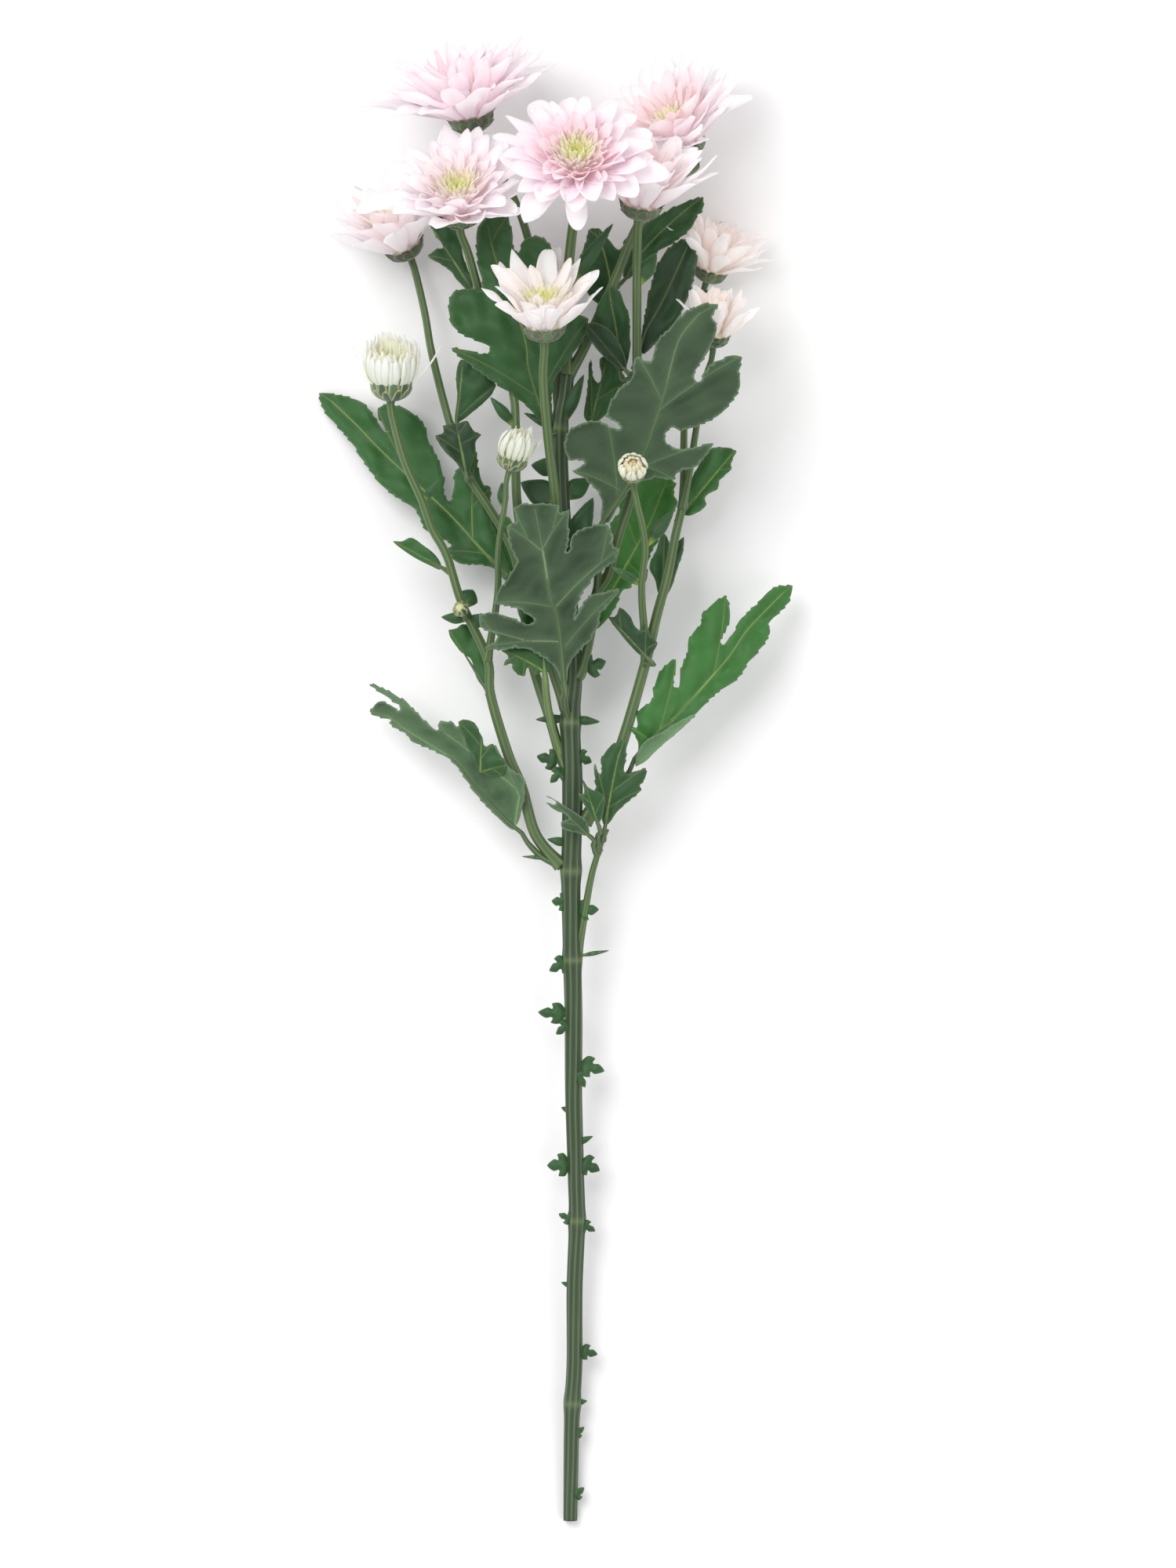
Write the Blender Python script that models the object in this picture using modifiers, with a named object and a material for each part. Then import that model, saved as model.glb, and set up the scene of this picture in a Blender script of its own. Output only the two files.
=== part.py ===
"""Cut stem of a spray chrysanthemum, lying on a surface.

The stem lies along +Y with its cut end near y = 0 and its flowers at the far end. +Z is up from the
surface. Every place below is in millimetres from the cut end, before the whole part is centred on its
outline, which is CENTRE.
"""
import math
import random

import bmesh
import bpy
from mathutils import Matrix, Vector

MM = 0.001
CENTRE = (-7.5, 322.5)
SEED = 11

LEAF_THICKNESS = 0.8
PETAL_THICKNESS = 0.7
SEAT_GAP = 0.35
STALK_RADIUS = 1.1
LARGE_STALK_RADIUS = 1.5
LARGE_LEAF = 50.0
PATH_STEP = 30.0
PATH_TOLERANCE = 0.8
STEM_TOLERANCE = 0.1
STALK_RUN = 6.0
TINY_STALK_RUN = 2.0
LEAF_STALK_RUN = 4.0
NODE_REACH = 4.0
RIB_SOFTNESS = 2.0
SHARP_ANGLE = 40

# Radius of the main stem at a distance from its cut end, and the nodes where it swells
STEM_RADIUS = [(0, 3.0), (50, 3.4), (150, 3.5), (245, 3.9), (320, 4.4), (350, 4.2), (373, 3.6), (500, 3.3)]
STEM_NODES = [51.5, 131.5, 245.5, 284.5, 349, 476.5]
NODE_SWELLING = 1.14

# Centre lines of the stem and of its branches and flower stalks, cut end first
ROUTES = {
    "main": [(-1, 0, 3), (-0.5, 33, 6), (0, 51.5, 8.5), (1, 70.5, 10), (1, 101, 12.5),
        (2, 131.5, 15), (1.5, 152, 16.5), (0.5, 186, 19), (0.5, 220, 22), (0, 245.5, 24),
        (-0.5, 271, 26), (-0.5, 284.5, 27), (0, 322, 30), (-1, 349, 32), (0.5, 373, 33.5),
        (-2, 410.5, 37), (-4.5, 444.5, 40), (-5.5, 476.5, 42.5), (-3.5, 490.5, 43.5),
        (-2.5, 500, 44.5)],
    "branch_j": [(-5, 286.5, 27), (-16, 300, 28), (-22, 320.5, 29), (-28, 335, 30),
        (-35.5, 360.5, 35), (-37, 376.5, 36), (-48, 400.5, 38), (-54.5, 421, 39),
        (-61, 433, 40), (-65.5, 445.5, 41), (-73, 462.5, 43)],
    "branch_k": [(-37, 375.5, 36), (-32.5, 403.5, 45), (-32, 424, 52), (-29, 444, 60)],
    "branch_f": [(-2.5, 329.5, 30), (-6, 337.5, 29.5), (-10, 351, 29), (-15, 366, 28.5),
        (-18.5, 379, 28), (-21, 397, 28.5), (-24, 417.5, 30), (-29, 430, 31),
        (-36.5, 442.5, 32), (-46, 457.5, 33), (-53.5, 479.5, 33), (-61, 508.5, 26),
        (-64.5, 528, 17)],
    "branch_b": [(-2.5, 354.5, 33), (-9, 373, 36), (-13.5, 390, 40), (-19.5, 417, 44),
        (-24, 444.5, 48), (-24.5, 475, 50), (-25.5, 490.5, 50), (-30.5, 509, 50),
        (-40, 534.5, 53), (-45, 551.5, 60)],
    "branch_a": [(-5, 471.5, 42), (-6, 485, 42.5), (-8.5, 509, 43), (-13.5, 536, 43),
        (-19, 558, 43), (-24, 573, 43), (-30.5, 585.5, 43)],
    "branch_h": [(-5, 422.5, 38), (-6.5, 434, 46), (-7, 443.5, 51), (-10.5, 471.5, 65),
        (-12.5, 495.5, 77)],
    "branch_c": [(-2.5, 499, 44), (-2.5, 526, 48), (-2, 541.5, 53), (-0.5, 556.5, 65)],
    "branch_d": [(-3, 497, 44), (5, 511, 44), (18, 539.5, 43), (28, 563.5, 43), (41, 582, 42)],
    "branch_e": [(2.5, 369, 34), (4, 371.5, 35), (7, 383, 36), (11, 404.5, 38), (15.5, 413, 40),
        (20.5, 431, 43), (26, 449.5, 46), (28, 471.5, 48), (28, 507, 51), (28, 543, 54)],
    "branch_right": [(5, 305, 29), (9, 312, 29.5), (15.5, 325.5, 31), (22, 341, 33), (32, 375.5, 38),
        (36.5, 394.5, 40), (41.5, 413, 40), (44.5, 428.5, 38), (48, 443.5, 36)],
    "branch_i": [(47.5, 441.5, 36.5), (51, 458, 38), (53.5, 474.5, 41), (57, 495.5, 45)],
    "branch_g": [(48, 441.5, 36), (48.5, 458, 33), (48.5, 471.5, 30), (49.5, 505.5, 20),
        (52.5, 529.5, 13)],
    "branch_l": [(32, 374.5, 38), (31.5, 382.5, 41), (31, 390.5, 44), (30, 407, 58),
        (31.5, 425.5, 71), (28, 442.5, 81)],
    "branch_n": [(-3.5, 492, 43.5), (-5.5, 502, 42), (-6.5, 519, 40), (-6.5, 531, 39)],
    "stalk_m": [(-46, 394, 38)],
    "shoot": [(2, 245, 24), (7.5, 278, 29), (11, 291.5, 33), (13.5, 299, 36), (15, 302.5, 36.5)],
}

# Leaves: heights of the midrib at base, middle and tip, the rise of the blade with distance from the
# midrib on both sides (fold) and on the left (tilt), the leaf stalk, and the outline from the base round
LEAVES = {
    "leaf_upper_left": dict(
        rise=(46, 60, 52), fold=-0.1, tilt=0.12, tip=(-33.5, 569.5),
        stalk=[(-5, 475.5, 44), (-8, 474.5, 45)],
        outline=[(-12, 477.5), (-19, 485), (-25.5, 490.5), (-33.5, 495.5), (-42, 501.5), (-48.5, 506.5),
            (-52.5, 510.5), (-45, 509.5), (-38.5, 508), (-35.5, 509.5), (-37, 512), (-47, 516),
            (-51.5, 520), (-53.5, 526.5), (-52.5, 533), (-48.5, 536), (-42.5, 536), (-39, 535.5),
            (-41, 548), (-41.5, 558.5), (-39, 566), (-33.5, 569.5), (-28, 568), (-26, 560), (-24, 552),
            (-21.5, 556.5), (-18.5, 559), (-12, 558), (-8, 551.5), (-6, 543), (-7, 533), (-2.5, 526.5),
            (7, 523.5), (5.5, 516), (-0.5, 507), (-7, 498), (-9, 488.5), (-8.5, 478)]),
    "leaf_back_left": dict(
        rise=(47, 46, 44), fold=0.1, tilt=0, tip=(-61, 563.5),
        stalk=[(-40, 534.5, 53)],
        outline=[(-43, 534), (-49.5, 540), (-53.5, 545), (-62.5, 551), (-59, 554), (-56, 555), (-59.5, 560),
            (-61.5, 564.5), (-58, 565.5), (-50.5, 562), (-47, 550), (-43, 537)]),
    "leaf_left_oval": dict(
        rise=(35, 38, 38), fold=0.15, tilt=0, tip=(-47.5, 506),
        stalk=[(-53.5, 478.5, 33)],
        outline=[(-51, 479), (-50, 490.5), (-50.5, 499.5), (-48.5, 506.5), (-44, 504.5), (-36.5, 499.5),
            (-33, 495), (-36.5, 489.5), (-44, 483), (-49, 479.5)]),
    "leaf_top_right": dict(
        rise=(34, 31, 28), fold=0.15, tilt=0, tip=(57, 577.5),
        stalk=[(18, 535.5, 43), (19.5, 537.5, 38)],
        outline=[(22, 542.5), (24, 551.5), (28, 560), (32, 566), (39, 570), (47.5, 574.5), (57, 577.5),
            (56.5, 571), (54.5, 569.5), (51.5, 563.5), (44, 557.5), (33.5, 551), (24.5, 541.5)]),
    "leaf_right_long": dict(
        rise=(42, 37, 32), fold=0.12, tilt=0.12, tip=(51.5, 559.5),
        stalk=[(28, 502, 51), (28.5, 505, 46)],
        outline=[(29, 509.5), (30, 516), (31.5, 526), (33.5, 536), (36.5, 546.5), (41, 554), (47, 558.5),
            (51.5, 559.5), (54, 553), (53.5, 544.5), (51.5, 537), (46.5, 525), (41, 517.5),
            (35.5, 512.5), (31, 508.5)]),
    "leaf_upper_mid": dict(
        rise=(31, 30, 29), fold=0.12, tilt=0, tip=(7.5, 563.5),
        stalk=[(13, 525.5, 44), (14.5, 527.5, 40)],
        outline=[(13, 530), (8.5, 533), (5.5, 537.5), (2.5, 544.5), (3.5, 551.5), (6, 558.5), (7, 563),
            (11.5, 564), (15, 560), (20.5, 554.5), (23, 559), (26, 561.5), (25, 552.5), (20.5, 543.5),
            (18, 537), (15.5, 529.5)]),
    "leaf_mid_right": dict(
        rise=(47, 48, 47), fold=0.12, tilt=0, tip=(16, 538),
        stalk=[(28, 496.5, 50), (25, 498, 48)],
        outline=[(19.5, 501), (15.5, 510.5), (11.5, 519), (10, 526.5), (13, 533.5), (16, 538), (20, 536),
            (22.5, 530.5), (24.5, 525.5), (25, 519), (25, 510.5), (22.5, 501)]),
    "leaf_dark_oval": dict(
        rise=(56, 58, 58), fold=0.2, tilt=0, tip=(6, 521),
        stalk=[(28, 499, 49), (25, 499.5, 54)],
        outline=[(22, 501), (18.5, 503), (12, 508.5), (7.5, 514.5), (6, 518.5), (7, 521.5), (10.5, 521.5),
            (15.5, 519), (20, 513.5), (23, 506.5), (23.5, 502)]),
    "leaf_behind_mid": dict(
        rise=(35, 33, 30), fold=0.1, tilt=0, tip=(15.5, 508.5),
        stalk=[(-1, 471.5, 40), (5, 473.5, 36)],
        outline=[(7, 479), (5, 482), (6, 489.5), (7, 499.5), (8, 507), (9, 499.5), (11, 496.5),
            (12.5, 499.5), (12, 507), (15.5, 509), (21, 502), (24, 496.5), (19, 488), (14, 482),
            (9, 478.5)]),
    "leaf_front_right": dict(
        rise=(53, 75, 72), fold=-0.14, tilt=0, tip=(62, 528.5),
        stalk=[(10.5, 403, 38), (11, 412, 42), (12.5, 424, 49)],
        outline=[(12.5, 436), (12.5, 445.5), (5.5, 454), (0.5, 457.5), (5, 461), (-1.5, 462.5),
            (-3.5, 467.5), (-2.5, 472.5), (0, 476), (7, 478.5), (12, 478.5), (17, 476), (21, 475.5),
            (18, 478.5), (14.5, 480.5), (15.5, 484), (19, 491), (23, 495), (26, 497), (26, 502),
            (28, 506.5), (33, 504), (35, 507.5), (37, 513.5), (42.5, 519), (48.5, 525.5), (56.5, 529),
            (63, 529), (60.5, 523), (62.5, 519), (60.5, 512.5), (58, 507), (54, 501.5), (52.5, 497.5),
            (54.5, 495.5), (57, 499.5), (60, 503), (68.5, 506.5), (73, 506.5), (72, 499), (72, 492),
            (64.5, 482), (59, 478.5), (48, 474.5), (43, 475.5), (40, 471.5), (43.5, 467), (51.5, 467),
            (61, 469), (58, 464), (52.5, 458.5), (45.5, 456.5), (44, 453.5), (34, 454), (25.5, 449.5),
            (19.5, 441.5), (15.5, 435)]),
    "leaf_right_bright": dict(
        rise=(28, 24, 18), fold=0.1, tilt=0, tip=(70.5, 467),
        stalk=[(47.5, 435, 37), (46, 436, 32)],
        outline=[(47.5, 440.5), (48.5, 448), (51.5, 454.5), (56.5, 463), (61.5, 468.5), (71.5, 467.5),
            (69, 461.5), (69.5, 459.5), (64, 454), (63.5, 451), (58, 447), (58, 443), (52, 439),
            (48.5, 439)]),
    "leaf_back_bright": dict(
        rise=(30, 26, 22), fold=0.1, tilt=0, tip=(41, 456.5),
        stalk=[(2.5, 385, 35), (5.5, 386, 32)],
        outline=[(7.5, 390), (11.5, 408.5), (15.5, 424), (18, 439.5), (22, 450.5), (29, 456), (37.5, 457.5),
            (45, 454), (46, 446), (43.5, 439.5), (39.5, 431.5), (33.5, 426.5), (30.5, 419),
            (26, 408.5), (18.5, 398.5), (11, 389.5)]),
    "leaf_right_small": dict(
        rise=(34, 33, 32), fold=0.15, tilt=0, tip=(40, 431),
        stalk=[(38, 398.5, 40), (39, 400, 36)],
        outline=[(37.5, 404.5), (36, 410.5), (33.5, 416.5), (36.5, 424), (39.5, 431.5), (42, 427.5),
            (43, 422.5), (45.5, 426.5), (48.5, 429.5), (48, 422.5), (46, 416.5), (43.5, 408.5),
            (41, 404)]),
    "leaf_right_lobed": dict(
        rise=(46, 48, 49), fold=0.15, tilt=0, tip=(16, 394.5),
        stalk=[(32, 373, 37), (32.5, 374.5, 42)],
        outline=[(30, 377.5), (26, 381), (20.5, 387.5), (15.5, 394.5), (18.5, 394.5), (20.5, 398.5),
            (24.5, 395.5), (27.5, 390), (30.5, 388.5), (32.5, 390.5), (34, 386.5), (37, 383),
            (33.5, 377.5)]),
    "leaf_lower_right": dict(
        rise=(34, 34, 16), fold=0.12, tilt=0, tip=(96, 408.5),
        stalk=[(12, 318.5, 30.5), (16.5, 318.5, 31), (22, 324, 32)],
        outline=[(26.5, 331), (28, 334), (28.5, 340.5), (25, 346.5), (28, 347), (28.5, 353.5),
            (34.5, 358.5), (35.5, 364.5), (38.5, 371.5), (45, 376.5), (44, 364.5), (46, 364),
            (47.5, 373), (49.5, 378), (51.5, 386.5), (56, 392), (56.5, 396), (66.5, 404), (68.5, 399),
            (68, 392), (64.5, 384), (66, 382.5), (71, 389.5), (74, 394.5), (82, 402), (87.5, 407.5),
            (96, 408.5), (95, 403), (92.5, 399), (85.5, 391.5), (86, 387.5), (82, 381), (77, 375.5),
            (72.5, 368.5), (61, 360), (52, 350.5), (44, 344), (32.5, 335), (28.5, 330)]),
    "leaf_shoot_right": dict(
        rise=(40, 43, 46), fold=0.15, tilt=0, tip=(22.5, 341.5),
        stalk=[(13, 297.5, 35), (13.5, 300, 38)],
        outline=[(13.5, 304.5), (12.5, 308.5), (11.5, 317), (10, 322), (10, 331), (12, 326.5),
            (12.5, 332.5), (16, 338), (22.5, 341.5), (23.5, 335), (22.5, 328), (24.5, 326.5),
            (32, 329), (31.5, 324), (29, 321.5), (30, 319.5), (24.5, 314.5), (19.5, 310), (15.5, 304.5)]),
    "leaf_shoot_mid": dict(
        rise=(46, 48, 50), fold=0.12, tilt=0, tip=(5, 323.5),
        stalk=[(11.5, 293, 33.5), (11, 299.5, 41)],
        outline=[(9.5, 306), (7, 310), (2.5, 318), (5, 318), (4.5, 324), (7, 320.5), (14, 317), (13.5, 310),
            (12, 305.5)]),
    "leaf_shoot_left": dict(
        rise=(41, 42, 40), fold=0.1, tilt=0, tip=(-11.5, 317),
        stalk=[(11, 291.5, 33), (9, 295.5, 38)],
        outline=[(5.5, 299.5), (3, 300.5), (-4, 302.5), (-5, 305.5), (-1.5, 307.5), (-7, 310.5),
            (-11.5, 314), (-7, 313.5), (-11.5, 317), (-4, 313), (3, 308.5), (6, 306), (7.5, 301)]),
    "leaf_front_middle": dict(
        rise=(52, 61, 60), fold=-0.14, tilt=0, tip=(-14.5, 442.5),
        stalk=[(-2.5, 348.5, 34), (-3, 354.5, 39), (-3.5, 359.5, 47)],
        outline=[(-4.5, 365.5), (-7, 371.5), (-9.5, 374.5), (-16.5, 379), (-21.5, 381), (-31.5, 380),
            (-38, 381), (-32.5, 385.5), (-40, 390), (-40, 395.5), (-33, 396), (-25.5, 393.5),
            (-17, 392), (-23, 397.5), (-34, 400.5), (-32, 405.5), (-29, 409.5), (-25, 416),
            (-24, 418.5), (-27, 425), (-28, 433.5), (-24.5, 435.5), (-25, 441.5), (-21.5, 443),
            (-6, 442.5), (-5.5, 439.5), (-1.5, 440.5), (-1.5, 433.5), (-1.5, 428.5), (-2, 422.5),
            (0.5, 430), (5, 432.5), (10, 434), (15.5, 434), (17, 430.5), (17.5, 425), (20.5, 423.5),
            (18.5, 418.5), (15, 416), (10, 412), (4, 403.5), (1, 394), (3.5, 398.5), (7, 403),
            (15.5, 405.5), (20.5, 406.5), (15.5, 399), (12.5, 396), (11, 389.5), (7, 383.5),
            (2, 378.5), (-1.5, 373), (-2.5, 365.5)]),
    "leaf_on_left_branch": dict(
        rise=(39, 42, 43), fold=0.12, tilt=0, tip=(-50.5, 478.5),
        stalk=[(-45, 454, 32.5), (-45.5, 455, 36)],
        outline=[(-47.5, 457.5), (-50.5, 461.5), (-56, 467), (-59.5, 473), (-56, 474.5), (-56, 477.5),
            (-50.5, 478.5), (-45.5, 479.5), (-43, 475.5), (-39.5, 473.5), (-42, 470.5), (-42, 466),
            (-45, 457.5)]),
    "leaf_behind_front": dict(
        rise=(50, 52, 52), fold=0.0, tilt=0, tip=(-16.5, 423.5),
        stalk=[(-5, 335, 30.5), (-9, 347.5, 38), (-11, 359.5, 46)],
        outline=[(-13.5, 370.5), (-17, 367.5), (-25.5, 367.5), (-29, 373), (-26.5, 379), (-21, 382.5),
            (-22.5, 393.5), (-24, 403.5), (-21, 417), (-17, 423.5), (-12, 421.5), (-9, 410.5),
            (-7.5, 397), (-8, 383), (-10.5, 370.5)]),
    "leaf_far_left": dict(
        rise=(24, 18, 3), fold=0.1, tilt=0, tip=(-111, 492.5),
        stalk=[(-21, 397, 28.5), (-24, 404.5, 27)],
        outline=[(-29, 410.5), (-34.5, 416), (-41, 417.5), (-48.5, 418), (-54.5, 423.5), (-53, 426.5),
            (-60, 430), (-64.5, 433.5), (-68.5, 441.5), (-79, 448.5), (-85.5, 455), (-91, 462.5),
            (-96.5, 471), (-103.5, 479), (-108.5, 485), (-111, 493), (-105, 492.5), (-97, 491),
            (-90, 487), (-85.5, 481), (-81.5, 475.5), (-84, 481), (-85, 486), (-81, 488), (-76, 487),
            (-68.5, 483), (-64.5, 478.5), (-63, 472.5), (-58.5, 463.5), (-56, 455), (-56, 449),
            (-53.5, 445.5), (-51.5, 451), (-51.5, 457), (-47.5, 462), (-42, 466.5), (-41, 459.5),
            (-38.5, 452.5), (-35.5, 451), (-36, 440), (-32, 427.5), (-26.5, 413)]),
    "leaf_left_bright": dict(
        rise=(20, 17, 15), fold=0.1, tilt=0, tip=(-32, 439),
        stalk=[(-21, 398.5, 28.5), (-21.5, 404.5, 24)],
        outline=[(-25, 411.5), (-29, 416.5), (-34, 420), (-36.5, 427.5), (-36, 435), (-32, 439.5),
            (-27, 437.5), (-24.5, 427.5), (-22.5, 412.5)]),
    "leaf_left_slim": dict(
        rise=(38, 36, 34), fold=0.12, tilt=0, tip=(-77.5, 427.5),
        stalk=[(-54, 413, 38.5)],
        outline=[(-57.5, 415), (-61, 416.5), (-68, 420), (-74, 424), (-78, 427.5), (-74, 427.5), (-70, 429),
            (-64.5, 425.5), (-60, 422), (-57, 417.5)]),
    "leaf_left_lobed": dict(
        rise=(33, 31, 30), fold=0.1, tilt=0, tip=(-53.5, 389),
        stalk=[(-35.5, 359.5, 35), (-36.5, 361.5, 34)],
        outline=[(-39.5, 365), (-42, 369), (-44, 376), (-48.5, 379.5), (-52.5, 385), (-54, 389),
            (-51, 389.5), (-47.5, 391.5), (-42.5, 390), (-39, 386), (-37.5, 380), (-37.5, 365.5)]),
    "leaf_lower_left": dict(
        rise=(30, 29, 20), fold=0.0, tilt=-0.35, tip=(-88.5, 358.5),
        stalk=[(-5, 284, 27), (-13, 290, 27.5), (-19.5, 296.5, 29)],
        outline=[(-26, 302), (-33.5, 308.5), (-39, 314), (-45.5, 322.5), (-49.5, 328.5), (-52.5, 332),
            (-61.5, 337), (-70, 340.5), (-71.5, 343), (-80, 348.5), (-79, 350), (-85.5, 351.5),
            (-88.5, 353.5), (-84.5, 357.5), (-80, 357), (-75, 354.5), (-79, 358.5), (-89, 366),
            (-79, 362), (-71.5, 357), (-65.5, 351), (-59, 345.5), (-58, 349), (-52.5, 349), (-50, 347),
            (-48, 350), (-44, 348), (-39, 342.5), (-37.5, 336.5), (-34, 339), (-31, 335), (-29, 331),
            (-25, 327.5), (-20.5, 324.5), (-21, 320.5), (-20.5, 318), (-21.5, 313), (-24, 304.5)]),
}

# Small leaves on the main stem: outline, root, tip and width
STUBS = [
    ("lobed", (-2.5, 270.5, 26), (-9, 271, 27), 7),
    ("lobed", (2.5, 266.5, 26), (11.5, 267.5, 27), 8),
    ("lobed", (-2.5, 246.5, 24), (-10, 240.5, 25), 7),
    ("narrow", (2.5, 247, 24), (16, 249.5, 26), 2),
    ("lobed", (-2.5, 222, 22), (-15, 222.5, 23), 8),
    ("lobed", (-2.5, 219.5, 22), (-7, 213, 24), 6),
    ("lobed", (2.5, 200.5, 20), (14, 197, 22), 8),
    ("lobed", (2, 199, 21), (5.5, 190, 24), 6),
    ("narrow", (-2, 179, 18), (-5, 181, 18), 3),
    ("narrow", (3.5, 165, 18), (9, 168.5, 19), 3),
    ("lobed", (-2, 156.5, 17), (-11, 155.5, 18), 9),
    ("lobed", (4, 158, 17), (12, 153.5, 18), 8),
    ("lobed", (-0.5, 131, 15), (-6, 134.5, 16), 5),
    ("lobed", (4, 131, 15), (10, 127, 16), 5),
    ("narrow", (-1.5, 102.5, 12), (-5, 104.5, 12), 2.5),
    ("lobed", (4, 75, 10), (11, 73, 11), 6),
    ("narrow", (2.5, 51.5, 8.5), (6.5, 52.5, 9), 3),
    ("lobed", (1.5, 35.5, 7), (5, 41, 9), 4),
    ("lobed", (0.5, 9, 5), (5, 14.5, 7), 5),
    ("narrow", (-5, 350.5, 33), (-16, 350, 34), 4),
    ("narrow", (2.5, 350, 33), (12, 349, 34), 4),
    ("lobed", (-4.5, 331, 30), (-15.5, 334, 31), 8),
    ("lobed", (-4.5, 329.5, 31), (-9.5, 322.5, 32), 6),
    ("lobed", (2.5, 335, 31), (8.5, 331.5, 31), 7),
    ("narrow", (-4.5, 296, 28), (-11, 298, 28), 4),
    ("narrow", (-9, 288.5, 28), (-22, 290.5, 28), 2),
    ("lobed", (2.5, 371.5, 34), (14.5, 375.5, 36), 9),
]

# Bracts on the branches: root, tip and width
BRACTS = [
    ((-65, 444.5, 41), (-57.5, 454, 42), 4),
    ((-25, 476.5, 52), (-35.5, 489.5, 53), 5),
    ((-6, 475.5, 43), (-21, 483, 44), 4),
    ((-2.5, 537, 50), (17.5, 564.5, 55), 6),
    ((-2.5, 476.5, 42), (5, 499.5, 46), 6),
    ((31, 424, 71), (44, 440.5, 70), 6),
    ((29.5, 406, 61), (17, 416, 60), 4),
    ((52.5, 530, 13), (59, 537.5, 17), 3),
    ((28, 537.5, 53), (36.5, 552, 50), 7),
    ((-2.5, 420, 38), (9, 446.5, 37), 10),
    ((-4, 446, 40), (8, 454.5, 38), 9),
    ((-5.5, 443.5, 40), (-22.5, 453, 38), 12),
    ((-6, 458.5, 41), (-18, 460.5, 39), 8),
    ((-29, 440.5, 58), (-30.5, 452.5, 58), 5),
    ((-45, 393.5, 37), (-57, 394.5, 38), 5),
    ((-45, 390, 37), (-39, 395.5, 41), 7),
    ((-47.5, 399, 38), (-43, 406.5, 35), 9),
]

# Radius at the root and at the far end of each branch
BRANCH_RADII = {
    "branch_j": (2.4, 1.6), "branch_k": (1.6, 1.1), "branch_f": (2.2, 1.5), "branch_b": (2.2, 1.7),
    "branch_a": (2.0, 1.6), "branch_h": (2.1, 1.8), "branch_c": (2.4, 2.0), "branch_d": (2.2, 1.7),
    "branch_e": (2.2, 1.8), "branch_right": (2.6, 1.9), "branch_i": (1.5, 1.2), "branch_g": (1.6, 1.2),
    "branch_l": (1.7, 1.2), "branch_n": (1.2, 0.9), "stalk_m": (1.2, 1.0), "shoot": (1.7, 1.2),
}

# Rings of ray petals, from the outside in: number of petals, tilt from the flower's axis at the root
# and at the tip in degrees, length and width
BLOOMS = {
    "a": dict(at=(-42.5, 605.5, 43), face=(-0.22, 0.93, 0.25), size=1.0, stalk="branch_a", eye=False, reach=0,
              rings=[(9, 59, 76, 37, 11.5), (7, 48, 60, 37, 11.5), (5, 34, 42, 34, 10), (4, 16, 20, 29, 9)]),
    "b": dict(at=(-48.5, 564.5, 68), face=(-0.05, 0.8, 0.6), size=1.0, stalk="branch_b", eye=True, reach=0.24,
              rings=[(8, 56, 76, 30, 12), (7, 44, 60, 28, 10.5), (5, 32, 42, 22, 8), (4, 18, 22, 17, 4)]),
    "c": dict(at=(2, 580, 90), face=(0, 0.7, 0.71), size=1.0, stalk="branch_c", eye=True, reach=0.2,
              rings=[(9, 64, 92, 29, 12), (8, 52, 74, 28.5, 11), (6, 40, 54, 24, 9), (4, 24, 34, 18, 6)]),
    "d": dict(at=(51, 595.5, 26), face=(-0.45, 0.8, 0.42), size=1.0, stalk="branch_d", eye=False, reach=0.14,
              rings=[(9, 54, 68, 37, 12), (7, 44, 54, 35, 11), (5, 32, 40, 31, 9.5), (4, 18, 22, 24, 7)]),
    "e": dict(at=(29, 566.5, 70), face=(0.14, 0.93, 0.35), size=0.92, stalk="branch_e", eye=False, reach=0.05,
              rings=[(7, 42, 50, 30, 11), (5, 28, 34, 28, 10), (4, 11, 14, 22, 8)]),
    "f": dict(at=(-71.5, 552.5, 14.6), face=(-0.38, 0.8, 0.46), size=0.9, stalk="branch_f", eye=True, reach=0,
              rings=[(7, 45, 54, 34, 11), (5, 33, 40, 30, 10), (4, 18, 24, 22, 7)]),
    "g": dict(at=(58.5, 541.5, 15.6), face=(0.32, 0.92, 0.22), size=0.76, stalk="branch_g", eye=False, reach=0,
              rings=[(6, 44, 56, 24, 7.5), (5, 22, 30, 23, 7)]),
    "h": dict(at=(-12, 513.5, 86), face=(0, 0.93, 0.36), size=0.95, stalk="branch_h", eye=True, reach=0.22,
              rings=[(8, 48, 44, 26, 9.5), (5, 35, 32, 25, 9), (3, 18, 20, 20, 6)]),
    "i": dict(at=(61, 512, 46), face=(0.1, 0.95, 0.25), size=0.68, stalk="branch_i", eye=False, reach=0,
              rings=[(6, 32, 40, 19, 7), (4, 13, 18, 18, 6)]),
    "j": dict(at=(-78.5, 489, 45), face=(0, 0.98, 0.2), size=0.9, stalk="branch_j", eye=True, reach=0,
              rings=[(8, 40, -12, 23, 7), (4, 18, 2, 20, 5.5)]),
    "k": dict(at=(-27, 458, 65), face=(0.26, 0.93, 0.25), size=0.72, stalk="branch_k", eye=False, reach=0,
              rings=[(6, 36, -30, 14, 5)]),
    "l": dict(at=(26, 455, 85), face=(0, 0.5, 0.86), size=0.58, stalk="branch_l", eye=False, reach=0,
              rings=[]),
    "n": dict(at=(-6.5, 539, 38), face=(0, 1, 0.05), size=0.42, stalk="branch_n", eye=False, reach=0,
              rings=[(4, 22, -6, 12, 3.8)]),
}
PALE_BLOOMS = "ghin"
IVORY_BUDS = "jkl"
TINY_BUD = dict(at=(-47.5, 396.5, 44), face=(-0.3, 0.4, 0.86), size=0.85)

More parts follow.
